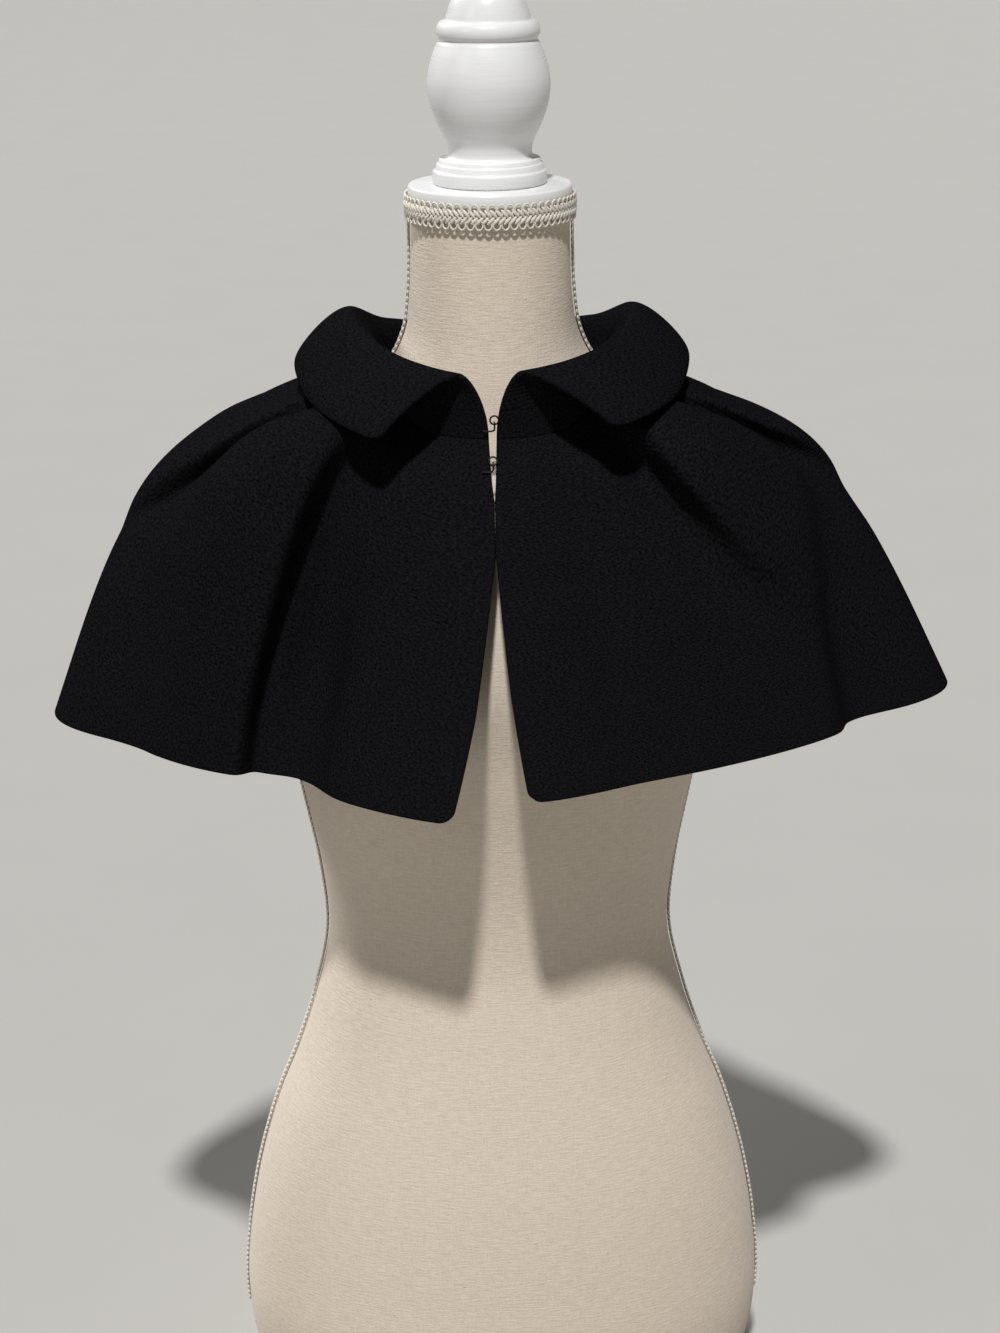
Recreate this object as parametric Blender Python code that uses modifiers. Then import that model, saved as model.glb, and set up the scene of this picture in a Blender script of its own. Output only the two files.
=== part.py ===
"""Short shoulder capelet in heavy black wool, worn on a limbless dress form.

Metres, +Z up. The front faces -Y and the wearer's right side lies towards -X.
Azimuths are in degrees from the front towards the wearer's right, so 90 is the
right shoulder, 180 the centre back and 270 the left shoulder.
"""
import bmesh
import bpy
from collections import namedtuple
from math import cos, pi, radians, sin, sqrt
from mathutils import Vector

UP = Vector((0.0, 0.0, 1.0))

CAPE_WALL = 0.0024
COLLAR_WALL = 0.0032
SEAM_GAP = 0.0003
SEAT_GAP = 0.0005

RIGHT_EDGE = 2.9
RIGHT_SHOULDER = 92.0
LEFT_SHOULDER = 268.0
LEFT_EDGE = 360.0
FRONT_CLOSED_TO = 0.26
FRONT_CORNER = 0.009
COLLAR_CORNER = 0.011
SHOULDER_NECK = 0.075
SHOULDER_HEM = 0.290
STAND_HEIGHT = 0.018
ROLL_ROUND = 0.006
FALL_TURN = 0.34

FRONT_COLUMNS = 34
BACK_COLUMNS = 40
CAPE_ROWS = 13
COLLAR_COLUMNS = 46
STAND_ROWS = 2
FALL_ROWS = 8
FORM_SEGMENTS = 36

NECK_RADIUS = 0.0500
CAP_RADIUS = 0.0515
CAP_TOP = 0.8655
CAP_THICK = 0.0125
NECK_TRIM_TOP = 0.8600
NECK_TRIM_HEIGHT = 0.0155
NECK_TRIM_THICK = 0.0028
SIDE_TRIM_WIDTH = 0.0050
SIDE_TRIM_THICK = 0.0022
SIDE_TRIM_TOP = 0.8435
SIDE_TRIM_END = 0.060

WIRE = 0.00055
EYE_RADIUS = 0.0026
HOOK_REACH = 0.0068

# Body of the form, one row for each level from the underside to the neck.
Level = namedtuple("Level", "name height half_width front back")
FORM_LEVELS = (
    Level("underside", 0.0000, 0.1280, 0.0560, 0.0620),
    Level("lower edge", 0.0040, 0.1480, 0.0760, 0.0820),
    Level("lower curve", 0.0140, 0.1650, 0.0930, 0.0990),
    Level("lower side", 0.0300, 0.1770, 0.1040, 0.1100),
    Level("hip", 0.0750, 0.1835, 0.1110, 0.1170),
    Level("upper hip", 0.1250, 0.1800, 0.1110, 0.1160),
    Level("high hip", 0.1650, 0.1735, 0.1095, 0.1125),
    Level("belly", 0.2000, 0.1650, 0.1070, 0.1080),
    Level("upper belly", 0.2350, 0.1540, 0.1030, 0.1020),
    Level("low waist", 0.2700, 0.1400, 0.0985, 0.0960),
    Level("under waist", 0.3100, 0.1270, 0.0930, 0.0890),
    Level("waist", 0.3580, 0.1165, 0.0880, 0.0820),
    Level("over waist", 0.4050, 0.1195, 0.0910, 0.0830),
    Level("ribs", 0.4550, 0.1285, 0.1000, 0.0880),
    Level("under bust", 0.5050, 0.1380, 0.1110, 0.0940),
    Level("bust", 0.5650, 0.1470, 0.1210, 0.0990),
    Level("chest", 0.6200, 0.1550, 0.1110, 0.1020),
    Level("arm plate", 0.6500, 0.1650, 0.0985, 0.1010),
    Level("shoulder tip", 0.6770, 0.1790, 0.0890, 0.0940),
    Level("shoulder end", 0.6904, 0.1755, 0.0836, 0.0890),
    Level("shoulder", 0.6990, 0.1610, 0.0785, 0.0840),
    Level("mid shoulder", 0.7100, 0.1370, 0.0755, 0.0790),
    Level("inner shoulder", 0.7230, 0.1070, 0.0700, 0.0730),
    Level("neck root", 0.7380, 0.0810, 0.0650, 0.0670),
    Level("neck base", 0.7550, 0.0640, 0.0600, 0.0610),
    Level("lower neck", 0.7750, 0.0545, 0.0550, 0.0555),
    Level("neck", 0.8000, 0.0510, 0.0520, 0.0525),
    Level("upper neck", 0.8300, 0.0500, 0.0503, 0.0503),
    Level("neck top", 0.8525, NECK_RADIUS, NECK_RADIUS, NECK_RADIUS),
)

# The hang of the cape without its folds, one row for each line from neck to hem.
Hang = namedtuple(
    "Hang",
    "neck_at meet_at hem_at neck_r neck_z bend_r bend_z hem_r hem_z soft",
)
CAPE_HANGS = (
    Hang(2.9, 1.24, 11.3, 0.0920, 0.7240, 0.1260, 0.6640, 0.1836, 0.508, 0.60),
    Hang(30, 30.0, 31.0, 0.0870, 0.7270, 0.1180, 0.6900, 0.1790, 0.511, 0.50),
    Hang(54, 53.0, 52.0, 0.0800, 0.7450, 0.1350, 0.7080, 0.1790, 0.514, 0.40),
    Hang(74, 74.0, 74.0, 0.0755, 0.7550, 0.1780, 0.7000, 0.2340, 0.516, 0.35),
    Hang(92, 91.0, 90.0, 0.0750, 0.7580, 0.2040, 0.6840, 0.2930, 0.518, 0.30),
    Hang(118, 118, 118, 0.0770, 0.7480, 0.1900, 0.7000, 0.2460, 0.518, 0.35),
    Hang(150, 150, 150, 0.0820, 0.7330, 0.1480, 0.7000, 0.1900, 0.518, 0.45),
    Hang(180, 180, 180, 0.0840, 0.7280, 0.1300, 0.6950, 0.1680, 0.518, 0.50),
    Hang(210, 210, 210, 0.0820, 0.7330, 0.1480, 0.7000, 0.1900, 0.519, 0.45),
    Hang(242, 242, 242, 0.0770, 0.7480, 0.1900, 0.7000, 0.2500, 0.521, 0.35),
    Hang(268, 269, 270, 0.0750, 0.7580, 0.2070, 0.6850, 0.3010, 0.527, 0.30),
    Hang(286, 286, 285, 0.0755, 0.7550, 0.1810, 0.7010, 0.2420, 0.525, 0.35),
    Hang(306, 306, 303, 0.0800, 0.7450, 0.1400, 0.7080, 0.2030, 0.522, 0.40),
    Hang(330, 330, 328, 0.0870, 0.7270, 0.1180, 0.6900, 0.1730, 0.520, 0.50),
    Hang(360, 360.76, 353.35, 0.0920, 0.7240, 0.1250, 0.6650, 0.1812, 0.521, 0.60),
)

# Folds of the cape, one row each: where the line runs and bows, how far it stands out
# at the neck, at one third, at two thirds and at the hem, how wide it is on either
# side, and how far it leans over for each metre that it stands out.
Fold = namedtuple(
    "Fold",
    "name neck_at hem_at bow neck third two_thirds hem before after lean",
)
CAPE_FOLDS = (
    Fold("right front groove", 44, 50, 3, -0.002, -0.009, -0.007, -0.004, 0.045, 0.022, 0.0),
    Fold("right front roll", 55, 62, 4, 0.003, 0.014, 0.014, 0.015, 0.024, 0.075, -1.1),
    Fold("right shoulder groove", 84, 81, 0, -0.002, -0.007, -0.006, 0.0, 0.036, 0.020, 0.0),
    Fold("right shoulder roll", 93, 91, 0, 0.004, 0.014, 0.009, 0.001, 0.021, 0.055, -0.7),
    Fold("right back roll", 122, 126, 0, 0.001, 0.006, 0.011, 0.014, 0.045, 0.040, 0.2),
    Fold("right back groove", 143, 150, 0, 0.0, -0.003, -0.007, -0.010, 0.040, 0.045, 0.0),
    Fold("centre back roll", 182, 178, 0, 0.0, 0.003, 0.008, 0.012, 0.055, 0.060, 0.0),
    Fold("left back groove", 213, 207, 0, 0.0, -0.003, -0.006, -0.009, 0.042, 0.045, 0.0),
    Fold("left back roll", 236, 231, 0, 0.001, 0.007, 0.010, 0.013, 0.045, 0.045, -0.2),
    Fold("left shoulder roll", 267, 269, 0, 0.004, 0.014, 0.009, 0.001, 0.055, 0.021, 0.7),
    Fold("left shoulder groove", 276, 279, 0, -0.002, -0.007, -0.006, 0.0, 0.020, 0.036, 0.0),
    Fold("left side groove", 287, 289, 0, 0.0, -0.003, -0.008, -0.008, 0.040, 0.016, 0.0),
    Fold("left front roll", 295, 298, 0, 0.0, 0.005, 0.010, 0.011, 0.018, 0.070, -0.5),
    Fold("left front groove", 319, 300, -4.5, -0.004, -0.015, -0.010, 0.0, 0.036, 0.022, 0.0),
)

# The folded collar, one row for each section: the neck seam below it, the roll line
# and the outer edge, with the fullness of the fall.
Turn = namedtuple("Turn", "neck_at roll_at roll_r roll_z edge_at edge_r edge_z belly")
COLLAR_TURNS = (
    Turn(2.9, 12.6, 0.1000, 0.7650, 33.0, 0.1290, 0.7285, 0.004),
    Turn(30, 32.0, 0.0920, 0.7680, 47.0, 0.1270, 0.7330, 0.005),
    Turn(58, 58.0, 0.0880, 0.7745, 67.0, 0.1240, 0.7400, 0.006),
    Turn(88, 90.0, 0.0905, 0.7870, 92.0, 0.1245, 0.7530, 0.006),
    Turn(130, 128, 0.0850, 0.7690, 130, 0.1250, 0.7370, 0.006),
    Turn(180, 180, 0.0890, 0.7570, 180, 0.1260, 0.7170, 0.006),
    Turn(230, 232, 0.0850, 0.7690, 230, 0.1250, 0.7370, 0.006),
    Turn(272, 270, 0.0905, 0.7870, 268, 0.1245, 0.7550, 0.006),
    Turn(302, 302, 0.0880, 0.7745, 293, 0.1240, 0.7420, 0.006),
    Turn(330, 328, 0.0915, 0.7690, 313, 0.1270, 0.7370, 0.005),
    Turn(360, 351.5, 0.0985, 0.7660, 327.5, 0.1280, 0.7340, 0.004),
)

# Turned finial, one row for each height on its outer side, top to bottom.
Turned = namedtuple("Turned", "radius height")
FINIAL = (
    Turned(0.0000, 0.9900),
    Turned(0.0090, 0.9885),
    Turned(0.0175, 0.9835),
    Turned(0.0226, 0.9760),
    Turned(0.0256, 0.9680),
    Turned(0.0262, 0.9655),
    Turned(0.0300, 0.9640),
    Turned(0.0318, 0.9600),
    Turned(0.0316, 0.9560),
    Turned(0.0302, 0.9535),
    Turned(0.0318, 0.9510),
    Turned(0.0350, 0.9430),
    Turned(0.0374, 0.9340),
    Turned(0.0382, 0.9260),
    Turned(0.0372, 0.9160),
    Turned(0.0348, 0.9075),
    Turned(0.0306, 0.8985),
    Turned(0.0272, 0.8905),
    Turned(0.0280, 0.8840),
    Turned(0.0312, 0.8805),
    Turned(0.0330, 0.8795),
    Turned(0.0332, 0.8745),
    Turned(0.0354, 0.8735),
    Turned(0.0357, 0.8700),
    Turned(0.0350, CAP_TOP + SEAM_GAP),
    Turned(0.0000, CAP_TOP + SEAM_GAP),
)


def spline(knots, values, at):
    """Smooth value at a place along the knots."""
    last = len(knots) - 1
    i = 0
    while i < last - 1 and at > knots[i + 1]:
        i += 1
    span = knots[i + 1] - knots[i]
    t = min(1.0, max(0.0, (at - knots[i]) / span))
    step = (values[i + 1] - values[i]) / span
    before = step
    after = step
    if i > 0:
        before = (values[i + 1] - values[i - 1]) / (knots[i + 1] - knots[i - 1])
    if i < last - 1:
        after = (values[i + 2] - values[i]) / (knots[i + 2] - knots[i])
    a = (1 + 2 * t) * (1 - t) ** 2 * values[i]
    b = t * (1 - t) ** 2 * span * before
    c = t * t * (3 - 2 * t) * values[i + 1]
    d = t * t * (t - 1) * span * after
    return a + b + c + d


def row_at(rows, key, at):
    """The row of a table at any place along its key column."""
    knots = [getattr(row, key) for row in rows]
    values = [spline(knots, column, at) for column in zip(*rows)]
    return type(rows[0])(*values)


def around(azimuth, radius, height):
    """Point at an azimuth, a distance from the axis and a height."""
    angle = radians(azimuth)
    return Vector((-radius * sin(angle), -radius * cos(angle), height))


def bezier(points, t):
    """Point on a curve with two handles."""
    a, b, c, d = points
    s = 1.0 - t
    return a * s ** 3 + b * (3 * s * s * t) + c * (3 * s * t * t) + d * t ** 3


def hang_point(at, v):
    """Point of the unfolded cape, v from 0 at the neck to 1 at the hem."""
    row = row_at(CAPE_HANGS, "neck_at", at)
    if v < FRONT_CLOSED_TO:
        azimuth = row.neck_at + (row.meet_at - row.neck_at) * v / FRONT_CLOSED_TO
    else:
        share = (v - FRONT_CLOSED_TO) / (1.0 - FRONT_CLOSED_TO)
        azimuth = row.meet_at + (row.hem_at - row.meet_at) * share ** 1.15
    neck = Vector((row.neck_r, row.neck_z))
    bend = Vector((row.bend_r, row.bend_z))
    hem = Vector((row.hem_r, row.hem_z))
    upper = (bend - neck).length
    lower = (hem - bend).length
    run = v * (upper + lower)
    start = upper * (1.0 - row.soft)
    end = upper + lower * row.soft
    if run < start:
        spot = neck.lerp(bend, run / upper)
    elif run > end:
        spot = bend.lerp(hem, (run - upper) / lower)
    else:
        t = (run - start) / (end - start)
        entry = neck.lerp(bend, 1.0 - row.soft)
        leave = bend.lerp(hem, row.soft)
        spot = entry.lerp(bend, t).lerp(bend.lerp(leave, t), t)
    return around(azimuth, spot.x, spot.y)


def hang_frame(at, v):
    """Point of the unfolded cape with its outward and its sideways direction."""
    step = 0.01
    point = hang_point(at, v)
    low = max(0.0, v - step)
    high = min(1.0, v + step)
    down = hang_point(at, high) - hang_point(at, low)
    west = max(RIGHT_EDGE, at - 0.5)
    east = min(LEFT_EDGE, at + 0.5)
    side = hang_point(east, v) - hang_point(west, v)
    side.normalize()
    out = side.cross(down).normalized()
    return point, out, side


def cape_point(at, v):
    """Middle of the cape's wall with all its folds."""
    point, out, side = hang_frame(at, v)
    radius = sqrt(point.x ** 2 + point.y ** 2)
    rise = 0.0
    lean = 0.0
    for fold in CAPE_FOLDS:
        line = fold.neck_at + (fold.hem_at - fold.neck_at) * v + fold.bow * 4.0 * v * (1.0 - v)
        away = radians(at - line) * radius
        reach = fold.before if away < 0.0 else fold.after
        share = abs(away) / reach
        if share < 1.0:
            sizes = (fold.neck, fold.third, fold.two_thirds, fold.hem)
            size = spline((0.0, 0.33, 0.67, 1.0), sizes, v)
            swell = size * cos(share * pi / 2.0) ** 2
            rise += swell
            lean += swell * fold.lean
    return point + out * rise + side * lean


def crowding(at):
    """How close together the lines of the cape run at a place."""
    weight = 1.0
    for fold in CAPE_FOLDS:
        steep = min(fold.before, fold.after)
        share = abs(at - 0.5 * (fold.neck_at + fold.hem_at)) / 9.0
        if share < 1.0:
            weight += 0.055 / steep * (1.0 - share)
    for edge in (RIGHT_EDGE, LEFT_EDGE):
        weight += max(0.0, 5.0 * (1.0 - abs(at - edge) / 3.0))
    return weight


def spread(top_ends, hem_ends, count):
    """Lines across a panel, closer together at the folds and running along them."""
    lines = [(top_ends[0], hem_ends[0], 0.0)]
    for fold in CAPE_FOLDS:
        if top_ends[0] + 2.0 < fold.neck_at < top_ends[1] - 2.0:
            lines.append((fold.neck_at, fold.hem_at, fold.bow))
    lines.append((top_ends[1], hem_ends[1], 0.0))
    middles = [0.5 * (top + hem) for top, hem, bow in lines]
    steps = 300
    run = middles[-1] - middles[0]
    total = [0.0]
    for i in range(steps):
        total.append(total[-1] + crowding(middles[0] + run * (i + 0.5) / steps))
    placed = []
    i = 0
    k = 0
    for column in range(count + 1):
        goal = total[-1] * column / count
        while i < steps - 1 and total[i + 1] < goal:
            i += 1
        middle = middles[0] + run * (i + (goal - total[i]) / (total[i + 1] - total[i])) / steps
        while k < len(lines) - 2 and middles[k + 1] < middle:
            k += 1
        share = (middle - middles[k]) / (middles[k + 1] - middles[k])
        placed.append([a + (b - a) * share for a, b in zip(lines[k], lines[k + 1])])
    return placed


def hem_share(at):
    """How far down the cape reaches, less at the rounded front corners."""
    edge = RIGHT_EDGE if at < 180.0 else LEFT_EDGE
    inward = (hang_point(at, 1.0) - hang_point(edge, 1.0)).length
    if inward >= FRONT_CORNER:
        return 1.0
    drop = FRONT_CORNER - sqrt(FRONT_CORNER ** 2 - (FRONT_CORNER - inward) ** 2)
    return 1.0 - drop / 0.25


def neck_seam(at):
    """Lower edge of the collar stand, just clear of the neck edge of the cape."""
    point, out, side = hang_frame(at, 0.0)
    return cape_point(at, 0.0) + UP * (0.5 * CAPE_WALL * out.z + 3.6 * SEAM_GAP)


def collar_curves(at):
    """Stand and fall of the collar at one section, each with two handles."""
    row = row_at(COLLAR_TURNS, "neck_at", at)
    neck = neck_seam(at)
    roll = around(row.roll_at, row.roll_r, row.roll_z)
    edge = around(row.edge_at, row.edge_r, row.edge_z)
    over = edge - roll
    over.z = 0.0
    over.normalize()
    rise = roll.z - neck.z
    stand = (neck, neck + UP * (rise * 0.55), roll - over * ROLL_ROUND, roll)
    fall_handle = roll + over * ((edge - roll).length * 0.24)
    edge_handle = edge + UP * row.belly + over * (row.belly * 0.25)
    return stand, (roll, fall_handle, edge_handle, edge)


def stand_share(stand):
    """Share of the rising curve that is the separate stand."""
    length = 0.0
    last = stand[0]
    for i in range(1, 41):
        point = bezier(stand, i / 40.0)
        step = (point - last).length
        length += step
        last = point
        if length >= STAND_HEIGHT:
            return (i - (length - STAND_HEIGHT) / step) / 40.0
    return 0.9


def stand_point(at, t):
    """Middle of the collar stand's wall."""
    stand, fall = collar_curves(at)
    top = stand_share(stand)
    return bezier(stand, top * t)


def fall_point(at, t):
    """Middle of the collar fall's wall, from the stand over the roll to the edge."""
    stand, fall = collar_curves(at)
    top = stand_share(stand)
    low = top + 1.5 * SEAM_GAP / STAND_HEIGHT
    if t < FALL_TURN:
        return bezier(stand, low + (1.0 - low) * t / FALL_TURN)
    return bezier(fall, (t - FALL_TURN) / (1.0 - FALL_TURN))


def fall_share(at):
    """How far the fall reaches, less at its rounded corners."""
    front = RIGHT_EDGE if at < 180.0 else LEFT_EDGE
    inward = (collar_curves(at)[1][3] - collar_curves(front)[1][3]).length
    if inward >= COLLAR_CORNER:
        return 1.0
    drop = COLLAR_CORNER - sqrt(COLLAR_CORNER ** 2 - (COLLAR_CORNER - inward) ** 2)
    return 1.0 - (1.0 - FALL_TURN) * drop / 0.06


def whole(at):
    """A piece that runs its full length."""
    return 1.0


def material(name, colour, roughness):
    """Plain surface for one sub-part."""
    made = bpy.data.materials.new(name)
    made.use_nodes = True
    shader = made.node_tree.nodes["Principled BSDF"]
    shader.inputs["Base Color"].default_value = (*colour, 1.0)
    shader.inputs["Roughness"].default_value = roughness
    return made


def add_object(name, data, home, surface):
    """Named sub-part in its collection with its own material."""
    made = bpy.data.objects.new(name, data)
    data.materials.append(material(name + "_surface", *surface))
    home.objects.link(made)
    return made


def outward(place_point, at, v):
    """Direction that a cloth's outer side faces."""
    west = max(RIGHT_EDGE, at - 0.3)
    east = min(LEFT_EDGE, at + 0.3)
    low = max(0.0, v - 0.006)
    high = min(1.0, v + 0.006)
    side = place_point(east, v) - place_point(west, v)
    down = place_point(at, high) - place_point(at, low)
    return side.cross(down).normalized()


def add_cloth(name, lines, rows, place_point, reach, wall, home, surface):
    """Cloth panel: a grid laid over a rule and extruded to its thickness."""
    mesh = bpy.data.meshes.new(name)
    grid = bmesh.new()
    column_of = grid.verts.layers.int.new("column")
    row_of = grid.verts.layers.int.new("row")
    columns = len(lines) - 1
    bmesh.ops.create_grid(grid, x_segments=columns, y_segments=rows, size=0.5)
    for vert in grid.verts:
        vert[column_of] = round((vert.co.x + 0.5) * columns)
        vert[row_of] = round((vert.co.y + 0.5) * rows)
    raised = bmesh.ops.extrude_face_region(grid, geom=grid.faces[:], use_keep_orig=True)
    outer = {item for item in raised["geom"] if isinstance(item, bmesh.types.BMVert)}
    for vert in grid.verts:
        top, end, bow = lines[vert[column_of]]
        v = vert[row_of] / rows
        at = top + (end - top) * v + bow * 4.0 * v * (1.0 - v)
        v = v * reach(at)
        half = 0.5 * wall if vert in outer else -0.5 * wall
        vert.co = place_point(at, v) + outward(place_point, at, v) * half
    bmesh.ops.recalc_face_normals(grid, faces=grid.faces)
    grid.to_mesh(mesh)
    grid.free()
    return add_object(name, mesh, home, surface)


def form_ring(level):
    """Points round the form at one level, starting at its left side."""
    points = []
    for i in range(FORM_SEGMENTS):
        angle = 2.0 * pi * i / FORM_SEGMENTS
        depth = level.front if sin(angle) < 0.0 else level.back
        x = abs(cos(angle)) ** 0.95 * level.half_width
        y = abs(sin(angle)) ** 0.95 * depth
        x = x if cos(angle) > 0.0 else -x
        y = y if sin(angle) > 0.0 else -y
        points.append(Vector((x, y, level.height)))
    return points


def form_rings():
    """All rings of the form, one to each level."""
    return [form_ring(level) for level in FORM_LEVELS]


def add_loft(name, rings, home, surface):
    """Closed body through rings of points, from the lowest to the highest."""
    mesh = bpy.data.meshes.new(name)
    body = bmesh.new()
    loops = [[body.verts.new(p) for p in ring] for ring in rings]
    for low, high in zip(loops, loops[1:]):
        for i in range(len(low)):
            k = (i + 1) % len(low)
            body.faces.new((low[i], low[k], high[k], high[i]))
    body.faces.new(list(reversed(loops[0])))
    body.faces.new(loops[-1])
    body.to_mesh(mesh)
    body.free()
    return add_object(name, mesh, home, surface)


def add_side_trim(name, rings, index, home, surface):
    """Flat cord laid over the side seam of the form."""
    strips = []
    for ring in rings:
        seam = ring[index]
        if not SIDE_TRIM_END < seam.z < SIDE_TRIM_TOP:
            continue
        k = rings.index(ring)
        along = (rings[k + 1][index] - rings[k - 1][index]).normalized()
        ahead = ring[(index + 1) % FORM_SEGMENTS]
        behind = ring[index - 1]
        out = along.cross((behind - ahead)).normalized()
        if out.x * seam.x < 0.0:
            out = -out
        half = SIDE_TRIM_WIDTH * 0.5
        left = seam + (ahead - seam).normalized() * half
        right = seam + (behind - seam).normalized() * half
        inner = SEAT_GAP
        outer = SEAT_GAP + SIDE_TRIM_THICK
        strip = [right + out * inner, right + out * outer, left + out * outer, left + out * inner]
        strip.insert(2, seam + out * (outer + 0.0006))
        strip.append(seam + out * inner)
        strips.append(strip)
    made = add_loft(name, strips, home, surface)
    body = bmesh.new()
    body.from_mesh(made.data)
    bmesh.ops.recalc_face_normals(body, faces=body.faces)
    body.to_mesh(made.data)
    body.free()
    return made


def add_turned(name, profile, steps, home, surface):
    """Turned body from the outer side of its profile, top to bottom."""
    mesh = bpy.data.meshes.new(name)
    points = [(row.radius, 0.0, row.height) for row in profile]
    mesh.from_pydata(points, [(i, i + 1) for i in range(len(points) - 1)], [])
    made = add_object(name, mesh, home, surface)
    turn = made.modifiers.new("turn", "SCREW")
    turn.axis = "Z"
    turn.steps = steps
    turn.render_steps = steps
    turn.use_merge_vertices = True
    turn.merge_threshold = 0.00001
    return made


def add_wire(name, points, closed, home, surface):
    """Bent wire through points."""
    curve = bpy.data.curves.new(name, "CURVE")
    curve.dimensions = "3D"
    curve.bevel_depth = WIRE
    curve.bevel_resolution = 1
    curve.use_fill_caps = True
    line = curve.splines.new("POLY")
    line.points.add(len(points) - 1)
    for spot, point in zip(line.points, points):
        spot.co = (*point, 1.0)
    line.use_cyclic_u = closed
    return add_object(name, curve, home, surface)


def add_fastening(label, place, down, home, surface):
    """A hook on the right front and its eye on the left, fastened, flat on the cloth."""
    side = Vector((1.0, 0.0, 0.0))
    out = down.cross(side).normalized()
    rest = place + out * (SEAT_GAP + WIRE)
    eye = []
    for i in range(14):
        angle = 2.0 * pi * i / 14
        eye.append(rest + side * (EYE_RADIUS * cos(angle)) + down * (EYE_RADIUS * sin(angle)))
    add_wire("eye_" + label, eye, True, home, surface)
    low = EYE_RADIUS + 0.0042
    over = 2.0 * WIRE + SEAM_GAP
    bill = EYE_RADIUS - 2.0 * WIRE - SEAM_GAP
    bends = (
        (-HOOK_REACH, low, 0.0),
        (-0.0014, low, 0.0),
        (-0.0004, low - 0.0004, 0.0004),
        (0.0, low - 0.0015, over),
        (0.0, bill + 0.0003, over),
        (0.0, bill, over - 0.0004),
        (0.0, bill, 0.0),
    )
    path = [rest + side * x + down * fall + out * lift for x, fall, lift in bends]
    add_wire("hook_" + label, path, False, home, surface)


def build():
    """Make every sub-part."""
    for old in list(bpy.data.objects):
        bpy.data.objects.remove(old)
    home = bpy.data.collections.new("capelet")
    bpy.context.scene.collection.children.link(home)
    wool = ((0.010, 0.010, 0.011), 0.9)
    linen = ((0.62, 0.55, 0.44), 0.9)
    paint = ((0.80, 0.79, 0.76), 0.35)
    braid = ((0.72, 0.68, 0.60), 0.8)
    steel = ((0.015, 0.015, 0.016), 0.4)

    panels = (
        ("cape_front_right", RIGHT_EDGE, RIGHT_SHOULDER, FRONT_COLUMNS),
        ("cape_back", RIGHT_SHOULDER, LEFT_SHOULDER, BACK_COLUMNS),
        ("cape_front_left", LEFT_SHOULDER, LEFT_EDGE, FRONT_COLUMNS),
    )
    for name, start, end, columns in panels:
        ends = []
        for radius in (SHOULDER_NECK, SHOULDER_HEM):
            inset = SEAM_GAP * 90.0 / pi / radius
            first = start if start == RIGHT_EDGE else start + inset
            last = end if end == LEFT_EDGE else end - inset
            ends.append((first, last))
        lines = spread(ends[0], ends[1], columns)
        add_cloth(name, lines, CAPE_ROWS, cape_point, hem_share, CAPE_WALL, home, wool)

    turns = []
    for i in range(COLLAR_COLUMNS + 1):
        share = i / COLLAR_COLUMNS
        ease = share - 0.055 * sin(2.0 * pi * share)
        at = RIGHT_EDGE + (LEFT_EDGE - RIGHT_EDGE) * ease
        turns.append((at, at, 0.0))
    add_cloth("collar_stand", turns, STAND_ROWS, stand_point, whole, COLLAR_WALL, home, wool)
    add_cloth("collar_fall", turns, FALL_ROWS, fall_point, fall_share, COLLAR_WALL, home, wool)

    upper = stand_point(LEFT_EDGE, 0.7) + Vector((-0.0022, -0.5 * COLLAR_WALL, 0.0))
    add_fastening("upper", upper, -UP, home, steel)
    slope = cape_point(LEFT_EDGE, 0.12) - cape_point(LEFT_EDGE, 0.02)
    slope.x = 0.0
    lower = cape_point(LEFT_EDGE, 0.06) + Vector((-0.0020, -0.55 * CAPE_WALL, 0.0))
    add_fastening("lower", lower, slope.normalized(), home, steel)

    rings = form_rings()
    add_loft("form_body", rings, home, linen)
    add_side_trim("form_side_trim_left", rings, 0, home, braid)
    add_side_trim("form_side_trim_right", rings, FORM_SEGMENTS // 2, home, braid)

    cap_low = CAP_TOP - CAP_THICK
    cap = (
        Turned(0.0, CAP_TOP),
        Turned(CAP_RADIUS - 0.0015, CAP_TOP),
        Turned(CAP_RADIUS, CAP_TOP - 0.0015),
        Turned(CAP_RADIUS, cap_low),
        Turned(0.0, cap_low),
    )
    add_turned("form_neck_cap", cap, 32, home, paint)
    add_turned("form_finial", FINIAL, 24, home, paint)
    inner = CAP_RADIUS + SEAM_GAP
    outer = inner + NECK_TRIM_THICK
    trim_low = NECK_TRIM_TOP - NECK_TRIM_HEIGHT
    trim = (
        Turned(inner, NECK_TRIM_TOP),
        Turned(outer, NECK_TRIM_TOP),
        Turned(outer, trim_low),
        Turned(inner, trim_low),
        Turned(inner, NECK_TRIM_TOP),
    )
    add_turned("form_neck_trim", trim, 32, home, braid)


build()
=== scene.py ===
"""Short black wool capelet worn on a linen dress form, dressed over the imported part.

Metres, +Z up. The front faces -Y and the wearer's right side lies towards -X.
Azimuths are in degrees from the front towards the wearer's right.
"""
from collections import namedtuple
from math import cos, pi, radians, sin

import bmesh
import bpy
import numpy as np
from bpy.props import FloatProperty, FloatVectorProperty, PointerProperty
from mathutils import Matrix, Vector


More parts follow.
